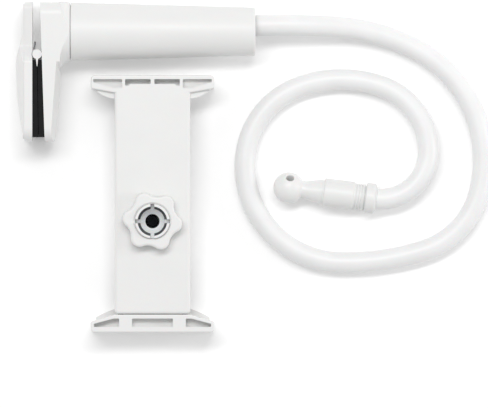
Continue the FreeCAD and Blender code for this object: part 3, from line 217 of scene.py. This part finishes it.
def moulded_white(name, base, gloss, grain_mm):
    """Injection-moulded ABS from a polished tool: an even white skin with a soft gloss.
    The eye gets a faint orange peel in the highlights, slow sink waves over thick places
    and a slightly duller cast here and there where hands have held it."""
    made, tree, surface, place = new_material(
        name, IOR=1.54, Subsurface_Weight=0.06, Subsurface_Scale=0.0012,
        Coat_Weight=0.08, Coat_Roughness=0.25)
    spot = place.outputs["Object"]
    haze = add(tree, "ShaderNodeTexNoise", {"Scale": per_mm(22), "Detail": 3.0}, {"Vector": spot})
    peel = add(tree, "ShaderNodeTexNoise", {"Scale": per_mm(grain_mm), "Detail": 2.0},
               {"Vector": spot})
    # Polishing scratches of the tool are about 0.05 mm; drawn at 0.4 mm so that they show
    fine = add(tree, "ShaderNodeTexNoise", {"Scale": per_mm(0.4), "Detail": 2.0}, {"Vector": spot})
    rough = add(tree, "ShaderNodeMapRange", {
        "From Min": 0.25, "From Max": 0.75, "To Min": gloss - 0.05, "To Max": gloss + 0.07},
        {"Value": haze.outputs["Fac"]})
    sink = add(tree, "ShaderNodeBump", {"Strength": 0.35, "Distance": 0.00035},
               {"Height": haze.outputs["Fac"]})
    skin = add(tree, "ShaderNodeBump", {"Strength": 0.22, "Distance": 0.00012},
               {"Height": peel.outputs["Fac"], "Normal": sink.outputs["Normal"]})
    grit = add(tree, "ShaderNodeBump", {"Strength": 0.10, "Distance": 0.00003},
               {"Height": fine.outputs["Fac"], "Normal": skin.outputs["Normal"]})
    tint = add(tree, "ShaderNodeValToRGB", {
        "stops": ((0.2, shade(base, 0.975)), (0.8, shade(base, 1.0)))},
        {"Fac": haze.outputs["Fac"]})
    feed(tree, surface, tint, rough, grit)
    return made


def extruded_sleeve(name, base):
    """Soft PVC drawn over the arm: as white as the moulded parts, with a satin skin.
    The eye gets faint draw lines along the tube and slow swellings over the core under it."""
    made, tree, surface, place = new_material(
        name, IOR=1.5, Subsurface_Weight=0.08, Subsurface_Scale=0.0015,
        Coat_Weight=0.1, Coat_Roughness=0.3)
    # The UV map runs in metres, along the tube and round it
    along = place.outputs["UV"]
    # Draw lines 125 mm long and 5/7 mm apart, coarser than real ones so that they show
    lines = add(tree, "ShaderNodeMapping", {"Scale": (per_mm(125), per_mm(5 / 7), 1.0)},
                {"Vector": along})
    draw = add(tree, "ShaderNodeTexNoise", {"Scale": 1.0, "Detail": 2.0},
               {"Vector": lines.outputs["Vector"]})
    swell = add(tree, "ShaderNodeTexNoise", {"Scale": per_mm(9), "Detail": 1.0}, {"Vector": along})
    haze = add(tree, "ShaderNodeTexNoise", {"Scale": per_mm(18), "Detail": 3.0},
               {"Vector": along})
    rough = add(tree, "ShaderNodeMapRange", {
        "From Min": 0.3, "From Max": 0.7, "To Min": 0.38, "To Max": 0.48},
        {"Value": haze.outputs["Fac"]})
    soft = add(tree, "ShaderNodeBump", {"Strength": 0.25, "Distance": 0.00025},
               {"Height": swell.outputs["Fac"]})
    drawn = add(tree, "ShaderNodeBump", {"Strength": 0.12, "Distance": 0.00006},
                {"Height": draw.outputs["Fac"], "Normal": soft.outputs["Normal"]})
    tint = add(tree, "ShaderNodeValToRGB", {
        "stops": ((0.35, shade(base, 0.97)), (0.6, shade(base, 1.0)))},
        {"Fac": haze.outputs["Fac"]})
    feed(tree, surface, tint, rough, drawn)
    return made


def moulded_rubber(name, base):
    """Thermoplastic rubber from a blasted tool, black in the pads; grey in the dark band that is
    painted shade on the socket's wall. Nearly matt. The eye gets a fine grain, a soft sheen at
    grazing angles and pale patches of dust."""
    made, tree, surface, place = new_material(
        name, IOR=1.5, Specular_IOR_Level=0.2, Sheen_Weight=0.04, Sheen_Roughness=0.45)
    spot = place.outputs["Object"]
    # A blasted tool leaves a grain of about 0.1 mm; drawn at 0.35 mm so that it shows
    grain = add(tree, "ShaderNodeTexNoise", {"Scale": per_mm(0.35), "Detail": 4.0},
                {"Vector": spot})
    dust = add(tree, "ShaderNodeTexNoise", {"Scale": per_mm(6), "Detail": 5.0}, {"Vector": spot})
    rough = add(tree, "ShaderNodeMapRange", {
        "From Min": 0.3, "From Max": 0.7, "To Min": 0.5, "To Max": 0.72},
        {"Value": grain.outputs["Fac"]})
    bump = add(tree, "ShaderNodeBump", {"Strength": 0.5, "Distance": 0.00008},
               {"Height": grain.outputs["Fac"]})
    tint = add(tree, "ShaderNodeValToRGB", {
        "stops": ((0.4, shade(base, 0.8)), (0.72, shade(base, 1.7)))},
        {"Fac": dust.outputs["Fac"]})
    feed(tree, surface, tint, rough, bump)
    return made


def moulded_acetal(name, base, gloss):
    """Injection-moulded acetal: waxy and dense, a little more even than ABS.
    The eye gets a broad soft highlight and fine, bent flow marks of the melt."""
    made, tree, surface, place = new_material(
        name, IOR=1.48, Subsurface_Weight=0.1, Subsurface_Scale=0.001)
    flow = add(tree, "ShaderNodeTexNoise", {
        "Scale": per_mm(2.5), "Detail": 3.0, "Distortion": 0.6},
        {"Vector": place.outputs["Object"]})
    rough = add(tree, "ShaderNodeMapRange", {
        "From Min": 0.3, "From Max": 0.7, "To Min": gloss - 0.06, "To Max": gloss + 0.08},
        {"Value": flow.outputs["Fac"]})
    bump = add(tree, "ShaderNodeBump", {"Strength": 0.12, "Distance": 0.00002},
               {"Height": flow.outputs["Fac"]})
    tint = add(tree, "ShaderNodeValToRGB", {
        "stops": ((0.25, shade(base, 0.98)), (0.75, shade(base, 1.0)))},
        {"Fac": flow.outputs["Fac"]})
    feed(tree, surface, tint, rough, bump)
    return made


def bare_metal(name, base, gloss, grain_mm, stretch=(1.0, 1.0, 1.0)):
    """Drawn wire or rod, plated steel or blackened steel, as its colour and gloss say.
    The eye gets fine tool marks along the stretch and a patchy film of oil or oxide."""
    made, tree, surface, place = new_material(name, Metallic=1.0)
    spot = add(tree, "ShaderNodeMapping", {"Scale": stretch}, {"Vector": place.outputs["Object"]})
    # Tool marks are about 0.02 mm; drawn ten or twenty times as coarse so that they show
    marks = add(tree, "ShaderNodeTexNoise", {"Scale": per_mm(grain_mm), "Detail": 4.0},
                {"Vector": spot.outputs["Vector"]})
    film = add(tree, "ShaderNodeTexNoise", {"Scale": per_mm(2), "Detail": 3.0},
               {"Vector": place.outputs["Object"]})
    rough = add(tree, "ShaderNodeMapRange", {
        "From Min": 0.3, "From Max": 0.7, "To Min": gloss - 0.08, "To Max": gloss + 0.12},
        {"Value": film.outputs["Fac"]})
    bump = add(tree, "ShaderNodeBump", {"Strength": 0.35, "Distance": 0.00004},
               {"Height": marks.outputs["Fac"]})
    tint = add(tree, "ShaderNodeValToRGB", {
        "stops": ((0.3, shade(base, 0.75)), (0.7, shade(base, 1.1)))},
        {"Fac": film.outputs["Fac"]})
    feed(tree, surface, tint, rough, bump)
    return made


def sweep_paper(name, base):
    """Matt coated paper under the stand, with a trace of light of its own, as a lit sweep has.
    The eye gets pure white with a barely seen tooth."""
    made, tree, surface, place = new_material(
        name, IOR=1.4, Roughness=0.9, Specular_IOR_Level=0.1, Emission_Color=(1, 1, 1, 1),
        Emission_Strength=0.1)
    # The tooth of such paper is about 0.1 mm; drawn at 0.6 mm so that it shows
    tooth = add(tree, "ShaderNodeTexNoise", {"Scale": per_mm(0.6), "Detail": 3.0},
                {"Vector": place.outputs["Object"]})
    tint = add(tree, "ShaderNodeValToRGB", {
        "stops": ((0.3, shade(base, 0.995)), (0.7, shade(base, 1.0)))},
        {"Fac": tooth.outputs["Fac"]})
    tree.links.new(tint.outputs["Color"], surface.inputs["Base Color"])
    return made


def material(name):
    """The material of that name, made the first time that it is asked for."""
    if name in bpy.data.materials:
        return bpy.data.materials[name]
    c = bpy.context.scene.stand_colours
    makers = {
        "abs_polished": lambda n: moulded_white(n, c.white, 0.42, 1.2),
        "abs_fine_satin": lambda n: moulded_white(n, c.white, 0.48, 0.8),
        "pvc_sleeve_extruded": lambda n: extruded_sleeve(n, c.sleeve),
        "rubber_black_moulded": lambda n: moulded_rubber(n, c.rubber),
        "elastomer_grey_moulded": lambda n: moulded_rubber(n, c.band),
        "acetal_white_moulded": lambda n: moulded_acetal(n, c.ball, 0.36),
        # Grey rubber look for the dark band of painted shade in the socket
        "acetal_grey_moulded": lambda n: moulded_acetal(n, c.ring, 0.4),
        "steel_black_oxide": lambda n: bare_metal(n, c.screw, 0.38, 0.2),
        "steel_spring_drawn": lambda n: bare_metal(n, c.spring, 0.26, 0.3, (1.0, 1.0, 3.0)),
        "steel_zinc_plated": lambda n: bare_metal(n, c.spring, 0.32, 0.25),
        "aluminium_soft_drawn": lambda n: bare_metal(n, c.core, 0.3, 0.4, (0.2, 0.2, 1.0)),
        "paper_matt_sweep": lambda n: sweep_paper(n, c.table),
    }
    return makers[name](name)


def dress(name, *nodes):
    """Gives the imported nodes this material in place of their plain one."""
    for node in nodes:
        for held in NODES[node].material_slots:
            held.material = material(name)


# Meshes

def new_object(name, verts, faces, finish):
    """An object in the scene from points and faces, with its material."""
    mesh = bpy.data.meshes.new(name)
    mesh.from_pydata(verts, [], faces)
    mesh.materials.append(material(finish))
    made = bpy.data.objects.new(name, mesh)
    bpy.context.scene.collection.objects.link(made)
    return made


def arm_links():
    """Each link of the arm as (start, direction, bend, radius, inward), from the joints."""
    placed = {int(j["name"][-2:]): Vector(j["pos_m"])
              for j in frame["joints"] if j["name"].startswith("arm_")}
    points = [ARM_MOUTH] + [placed[k] for k in sorted(placed)] + [ARM_END]
    along = Vector((math.cos(ARM_HEADING), math.sin(ARM_HEADING), 0.0))
    links = []
    for start, end in zip(points, points[1:]):
        chord = end - start
        bend = 2 * along.angle(chord)
        radius = chord.length / 2 / math.sin(bend / 2)
        inward = (chord - along * along.dot(chord)).normalized()
        links.append((start, along, bend, radius, inward))
        along = (along * math.cos(bend) + inward * math.sin(bend)).normalized()
    return links


def on_link(link, share):
    """Point and direction on a link, a share of the way along it."""
    start, along, bend, radius, inward = link
    turn = bend * share
    point = start + along * radius * math.sin(turn) + inward * radius * (1 - math.cos(turn))
    return point, (along * math.cos(turn) + inward * math.sin(turn)).normalized()


def sleeve_piece(name, stations, sizes):
    """A hollow tube through the stations, each (point, direction, metres along the arm)."""
    sides = sizes.arm_sides
    verts, faces, uvs = [], [], []
    for radius in (sizes.arm_d / 2, sizes.arm_bore / 2):
        for point, along, run in stations:
            across = along.cross(Vector((0, 0, 1))).normalized()
            up = across.cross(along)
            for i in range(sides):
                turn = math.tau * i / sides
                verts.append(point + (across * math.cos(turn) + up * math.sin(turn)) * radius)
    rings = len(stations)
    inside = rings * sides
    runs = [run for _, _, run in stations]
    across_step = math.pi * sizes.arm_d / sides

    def quad(a, b, ring_a, ring_b, i):
        j = (i + 1) % sides
        faces.append((b + i, b + j, a + j, a + i))
        for ring, side in ((ring_b, i), (ring_b, i + 1), (ring_a, i + 1), (ring_a, i)):
            uvs.append((runs[ring], side * across_step))

    for k in range(rings - 1):
        for i in range(sides):
            quad(k * sides, (k + 1) * sides, k, k + 1, i)
            quad(inside + (k + 1) * sides, inside + k * sides, k + 1, k, i)
    for i in range(sides):
        quad(inside, 0, 0, 0, i)
        quad((rings - 1) * sides, inside + (rings - 1) * sides, rings - 1, rings - 1, i)
    made = new_object(name, verts, faces, "pvc_sleeve_extruded")
    mesh = made.data
    layer = mesh.uv_layers.new(name="UVMap")
    for loop, uv in zip(layer.data, uvs):
        loop.uv = uv
    mesh.polygons.foreach_set("use_smooth", [True] * len(mesh.polygons))
    ends = set(range(sides)) | set(range((rings - 1) * sides, rings * sides))
    ends |= {inside + v for v in ends}
    for edge in mesh.edges:
        a, b = edge.vertices
        if a in ends and b in ends and abs(a - b) in (1, sides - 1):
            edge.use_edge_sharp = True
    mesh.update()
    return made


def wire(name, lines, diameter, finish):
    """Round wire along each line of points, as one mesh with closed ends."""
    curve = bpy.data.curves.new(name, "CURVE")
    curve.dimensions = "3D"
    curve.bevel_depth = diameter / 2
    curve.bevel_resolution = 3
    curve.use_fill_caps = True
    for points in lines:
        spline = curve.splines.new("POLY")
        spline.points.add(len(points) - 1)
        for place, point in zip(spline.points, points):
            place.co = (*point, 1.0)
    holder = bpy.data.objects.new(name + "_line", curve)
    bpy.context.scene.collection.objects.link(holder)
    mesh = bpy.data.meshes.new_from_object(holder)
    bpy.data.objects.remove(holder)
    mesh.name = name
    mesh.materials.clear()
    mesh.materials.append(material(finish))
    mesh.polygons.foreach_set("use_smooth", [True] * len(mesh.polygons))
    made = bpy.data.objects.new(name, mesh)
    bpy.context.scene.collection.objects.link(made)
    return made


def grid_solid(name, rows, cols, front, back, finish):
    """A closed plate between two surfaces, each a function of a row and a column value."""
    verts = [side(r, c) for side in (front, back) for r in rows for c in cols]
    wide, deep = len(cols), len(rows)
    other = wide * deep
    faces = []
    for i in range(deep - 1):
        for j in range(wide - 1):
            a = i * wide + j
            faces.append((a, a + wide, a + wide + 1, a + 1))
            faces.append((other + a, other + a + 1, other + a + wide + 1, other + a + wide))
    for j in range(wide - 1):
        for a, b in ((j, j + 1), (other - wide + j + 1, other - wide + j)):
            faces.append((a, b, other + b, other + a))
    for i in range(deep - 1):
        for a, b in (((i + 1) * wide, i * wide), (i * wide + wide - 1, (i + 2) * wide - 1)):
            faces.append((a, b, other + b, other + a))
    made = new_object(name, verts, faces, finish)
    made.data.polygons.foreach_set("use_smooth", [True] * len(faces))
    made.data.set_sharp_from_angle(angle=SHARP_ANGLE)
    return made


def join(name, pieces):
    """One object from several that share a material."""
    built = bmesh.new()
    for piece in pieces:
        built.from_mesh(piece.data)
    kept = pieces[0]
    built.to_mesh(kept.data)
    built.free()
    for piece in pieces[1:]:
        bpy.data.objects.remove(piece)
    kept.name = kept.data.name = name
    return kept


def coil_points(centre, axis, side, radius, run, turns, per_turn=24):
    """Points on a helix round an axis, from the given side; negative turns wind it left."""
    other = axis.cross(side)
    steps = int(abs(turns) * per_turn)
    return [
        centre + axis * (run * k / steps)
        + (side * math.cos(math.tau * turns * k / steps)
           + other * math.sin(math.tau * turns * k / steps)) * radius
        for k in range(steps + 1)
    ]


# The pieces

class STAND_OT_arm(bpy.types.Operator):
    """The arm: one plastic sleeve, in curved pieces that meet at the middle of each link, on its
    core
    """
    bl_idname = "stand.arm"
    bl_label = "Arm"

    def execute(self, context):
        sizes = context.scene.stand_sizes
        links = arm_links()
        bodies = ["stand"] + ["arm_link_%02d" % k for k in range(2, len(links) + 1)]
        runs = [0.0]
        for _, _, bend, radius, _ in links:
            runs.append(runs[-1] + bend * radius)

        def stations(k, low, high):
            """Stations on link k between two shares of its length."""
            reach = (runs[k + 1] - runs[k]) * (high - low)
            steps = max(2, round(reach / sizes.ring_step))
            found = []
            for i in range(steps + 1):
                share = low + (high - low) * i / steps
                point, along = on_link(links[k], share)
                found.append((point, along, runs[k] + (runs[k + 1] - runs[k]) * share))
            return found

        start, along = on_link(links[0], 0.0)
        root = [(start - along * ARM_ROOT * share, along, -ARM_ROOT * share)
                for share in (1.0, 0.75, 0.5, 0.25)]
        made = sleeve_piece("arm_tube_00", root + stations(0, 0.0, 0.5), sizes)
        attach(made, bodies[0])
        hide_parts("arm_sleeve_01")
        for k in range(len(links) - 1):
            line = stations(k, 0.5, 1.0) + stations(k + 1, 0.0, 0.5)[1:]
            made = sleeve_piece("arm_tube_%02d" % (k + 1), line, sizes)
            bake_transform(made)
            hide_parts("arm_sleeve_%02d" % (k + 2))
        last = len(links) - 1
        made = sleeve_piece("arm_tube_%02d" % (last + 1), stations(last, 0.5, 1.0), sizes)
        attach(made, bodies[last])
        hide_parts("arm_sleeve_%02d" % (last + 1))
        dress("aluminium_soft_drawn", *["arm_core_%02d" % (k + 1) for k in range(len(links))])
        return {"FINISHED"}


class STAND_OT_grip(bpy.types.Operator):
    """The tapered grip, with the crimped ferrule and the grub screw inside it"""
    bl_idname = "stand.grip"
    bl_label = "Grip"

    def execute(self, context):
        dress("abs_fine_satin", "grip_sleeve")
        dress("steel_zinc_plated", "root_ferrule")
        dress("steel_black_oxide", "root_grub_screw")
        return {"FINISHED"}


def clamp_pad(name, node, sizes):
    """A pad with its ribs inside a plain border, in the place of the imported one."""
    points = [NODES[node].matrix_world @ v.co for v in NODES[node].data.vertices]
    low_y, high_y = min(p.y for p in points), max(p.y for p in points)
    low_z, high_z = min(p.z for p in points), max(p.z for p in points)

    def ends(pick):
        """X of the back or the crest at the pad's lower and upper end."""
        step = (high_y - low_y) / PAD_RIBS
        lower = pick(p.x for p in points if p.y < low_y + step)
        upper = pick(p.x for p in points if p.y > high_y - step)
        return lower, upper

    fixed = node == "clamp_fixed_pad"
    backs, crests = (ends(max), ends(min)) if fixed else (ends(min), ends(max))
    inward = 1.0 if fixed else -1.0

    def line(pair, y):
        return pair[0] + (pair[1] - pair[0]) * (y - low_y) / (high_y - low_y)

    def front(y, z):
        share = (y - low_y) / (high_y - low_y) * PAD_RIBS
        rib = math.sin(math.pi * (share - math.floor(share)))
        inside = low_z + sizes.pad_inset < z < high_z - sizes.pad_inset
        drop = sizes.rib_height * (1 - rib) if inside else 0.0
        return Vector((line(crests, y) + inward * drop, y, z))

    def back(y, z):
        return Vector((line(backs, y), y, z))

    steps = PAD_RIBS * RIB_STEPS
    rows = [low_y + (high_y - low_y) * k / steps for k in range(steps + 1)]
    edge = sizes.pad_inset
    cols = [low_z, low_z + edge, low_z + edge + RIB_END, high_z - edge - RIB_END,
            high_z - edge, high_z]
    if fixed:
        cols.reverse()
    return grid_solid(name, rows, cols, front, back, "rubber_black_moulded")


class STAND_OT_clamp(bpy.types.Operator):
    """The two clamp jaws, their ribbed rubber pads, the hinge pin and the torsion spring"""
    bl_idname = "stand.clamp"
    bl_label = "Clamp"

    def execute(self, context):
        sizes = context.scene.stand_sizes
        dress("abs_polished", "clamp_fixed_jaw", "clamp_moving_jaw")
        for node, body in (("clamp_fixed_pad", "stand"), ("clamp_moving_pad", "clamp_jaw")):
            made = clamp_pad(node + "_ribbed", node, sizes)
            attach(made, body)
            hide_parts(node)
        dress("steel_zinc_plated", "clamp_pivot_pin")
        half = sizes.hinge_coil_length / 2
        low = HINGE - Vector((0, 0, half))
        winding = coil_points(low, Vector((0, 0, 1)), Vector((1, 0, 0)), sizes.hinge_coil_r,
                              2 * half, HINGE_TURNS)
        jaw_lean, lever_lean = math.radians(18), math.radians(8)
        jaw_leg = Vector((math.sin(jaw_lean), math.cos(jaw_lean), 0)) * sizes.jaw_leg
        lever_leg = Vector((math.sin(lever_lean), math.cos(lever_lean), 0)) * sizes.lever_leg
        line = [winding[0] + jaw_leg] + winding + [winding[-1] + lever_leg]
        made = wire("clamp_torsion_spring", [line], sizes.hinge_wire, "steel_spring_drawn")
        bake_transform(made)
        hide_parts("clamp_spring")
        return {"FINISHED"}


class STAND_OT_end_fitting(bpy.types.Operator):
    """The collar and grooved housing at the arm's end, and the ball on its stem"""
    bl_idname = "stand.end_fitting"
    bl_label = "End fitting"

    def execute(self, context):
        dress("abs_polished", "end_collar", "end_housing")
        dress("acetal_white_moulded", "ball_stem")
        return {"FINISHED"}


class STAND_OT_holder(bpy.types.Operator):
    """The holder's two shells, its sliding jaw, the rubber strips, screws and springs"""
    bl_idname = "stand.holder"
    bl_label = "Holder"

    def execute(self, context):
        sizes = context.scene.stand_sizes
        dress("abs_polished", "holder_back_shell", "holder_front_shell", "sliding_jaw")
        dress("rubber_black_moulded", "front_strips", "fixed_jaw_strip", "sliding_jaw_strip")
        dress("steel_black_oxide", "case_screws")
        low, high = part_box("return_springs")
        coil_r = (sizes.return_coil_d - sizes.return_wire) / 2
        reach = (high.x - low.x) / 2 - sizes.return_coil_d / 2
        z = (low.z + high.z) / 2
        bottom, top = low.y + sizes.return_wire / 2, high.y - sizes.return_wire / 2
        lines = []
        for side in (-1, 1):
            x = HOLDER_X + side * reach
            winding = coil_points(Vector((x, bottom, z)), Vector((0, 1, 0)),
                                  Vector((0, 0, 1)), coil_r, top - bottom, RETURN_TURNS)
            turns = [math.radians(90 + 220 * k / 8) for k in range(9)]
            hook = [(x + HOOK_R * math.cos(turn), HOOK_R * math.sin(turn)) for turn in turns]
            upper = [Vector((px, top + HOOK_RISE - py, z)) for px, py in hook]
            lower = [Vector((px, bottom - HOOK_RISE + py, z)) for px, py in hook]
            lines.append(lower[::-1] + winding + upper)
        made = wire("return_spring_pair", lines, sizes.return_wire, "steel_spring_drawn")
        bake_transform(made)
        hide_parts("return_springs")
        return {"FINISHED"}


def painted_shade_sector(name, start, sizes):
    """A dark strip of painted shade on the socket's round wall, from one slot of the collet to the
    next.
    """
    steps = 24

    def on_wall(radius):
        """A surface at this radius, by depth below the ball's middle and share of the sector."""
        def place(depth, share):
            across = math.sqrt(BALL_SPACE_R ** 2 - depth ** 2)
            margin = math.asin((SLOT_HALF + BAND_GAP) / across)
            turn = start + margin + (math.pi / 2 - 2 * margin) * share
            scale = radius / BALL_SPACE_R
            return SOCKET + Vector((
                across * math.cos(turn) * scale, across * math.sin(turn) * scale,
                -depth * scale))
        return place

    deeper, higher = BAND_DEPTHS
    rows = [deeper + (higher - deeper) * k / 8 for k in range(9)]
    cols = [k / steps for k in range(steps + 1)]
    return grid_solid(name, rows, cols, on_wall(BALL_SPACE_R - sizes.band_proud),
                      on_wall(BALL_SPACE_R + BAND_SINK), "elastomer_grey_moulded")


def seat_seal(name):
    """The soft seal round the screw's head, at the bottom of the socket."""
    inner, outer = SEAL_RADII
    middle = (inner + outer) / 2
    half = (outer - inner) / 2
    turns = [math.tau * k / 48 for k in range(49)]
    points = [(SOCKET.x + middle * math.cos(turn), SOCKET.y + middle * math.sin(turn),
               SEAL_FLOOR + half) for turn in turns]
    return wire(name, [points], half * 2, "rubber_black_moulded")


class STAND_OT_socket(bpy.types.Operator):
    """The ball socket: collet, seat ring, lobed nut, screw, a dark band of painted shade on the
    collet's wall and a seal
    """
    bl_idname = "stand.socket"
    bl_label = "Ball socket"

    def execute(self, context):
        dress("abs_polished", "ball_lock_nut")
        dress("acetal_white_moulded", "ball_collet")
        dress("acetal_grey_moulded", "ball_seat_ring")
        dress("steel_black_oxide", "seat_screw")
        sizes = context.scene.stand_sizes
        # A dark grey sheet on the collet's round wall between the slots: painted shade where the
        # deep, narrow socket falls into shadow
        band = join("socket_painted_shade_band", [
            painted_shade_sector("band_%d" % quarter, quarter * math.pi / 2, sizes)
            for quarter in range(4)])
        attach(band, "stand")
        seal = seat_seal("seat_screw_seal")
        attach(seal, "stand")
        return {"FINISHED"}


class STAND_OT_stage(bpy.types.Operator):
    """The pale table, the soft lights and the camera straight above"""
    bl_idname = "stand.stage"
    bl_label = "Table, light and camera"

    def execute(self, context):
        scene = context.scene
        sizes = scene.stand_sizes
        corners = [Vector((x * TABLE_REACH, y * TABLE_REACH, 0.0))
                   for x, y in ((-1, -1), (1, -1), (1, 1), (-1, 1))]
        table = new_object("table_top", corners, [(0, 1, 2, 3)], "paper_matt_sweep")

        world = bpy.data.worlds.new("studio_white")
        world.use_nodes = True
        background = world.node_tree.nodes["Background"]
        background.inputs["Color"].default_value = (1, 1, 1, 1)
        background.inputs["Strength"].default_value = WORLD_STRENGTH
        scene.world = world

        for name, place, width, height, power in LIGHTS:
            data = bpy.data.lights.new(name, "AREA")
            data.shape = "RECTANGLE"
            data.size = width
            data.size_y = height
            data.energy = power
            lamp = bpy.data.objects.new(name, data)
            lamp.location = place
            lamp.rotation_euler = (VIEW_CENTRE - place).to_track_quat("-Z", "Y").to_euler()
            scene.collection.objects.link(lamp)

        data = bpy.data.cameras.new("camera_above")
        data.lens = data.sensor_width * sizes.camera_height / sizes.frame_width
        data.clip_start = 0.1
        data.clip_end = 40.0
        camera = bpy.data.objects.new("camera_above", data)
        camera.location = VIEW_CENTRE + Vector((0, 0, sizes.camera_height))
        scene.collection.objects.link(camera)
        scene.camera = camera
        scene.view_settings.view_transform = "Standard"
        return {"FINISHED"}


class STAND_PT_panel(bpy.types.Panel):
    """Lists the pieces, sizes and colours of the stand"""
    bl_label = "Gooseneck tablet stand"
    bl_idname = "STAND_PT_panel"
    bl_space_type = "VIEW_3D"
    bl_region_type = "UI"
    bl_category = "Stand"

    def draw(self, context):
        for piece in PIECES:
            self.layout.operator(piece.bl_idname)
        for group in (context.scene.stand_sizes, context.scene.stand_colours):
            box = self.layout.box()
            for key in group.bl_rna.properties.keys():
                if key not in ("rna_type", "name"):
                    box.prop(group, key)


PIECES = (STAND_OT_stage, STAND_OT_arm, STAND_OT_grip, STAND_OT_clamp, STAND_OT_end_fitting,
          STAND_OT_holder, STAND_OT_socket)
CLASSES = (StandSizes, StandColours, *PIECES, STAND_PT_panel)


def register():
    for made in CLASSES:
        bpy.utils.register_class(made)
    bpy.types.Scene.stand_sizes = PointerProperty(type=StandSizes)
    bpy.types.Scene.stand_colours = PointerProperty(type=StandColours)


def unregister():
    del bpy.types.Scene.stand_colours
    del bpy.types.Scene.stand_sizes
    for made in reversed(CLASSES):
        bpy.utils.unregister_class(made)


def main():
    register()
    for name in ("stage", "arm", "grip", "clamp", "end_fitting", "holder", "socket"):
        getattr(bpy.ops.stand, name)()


if __name__ == "__main__":
    main()
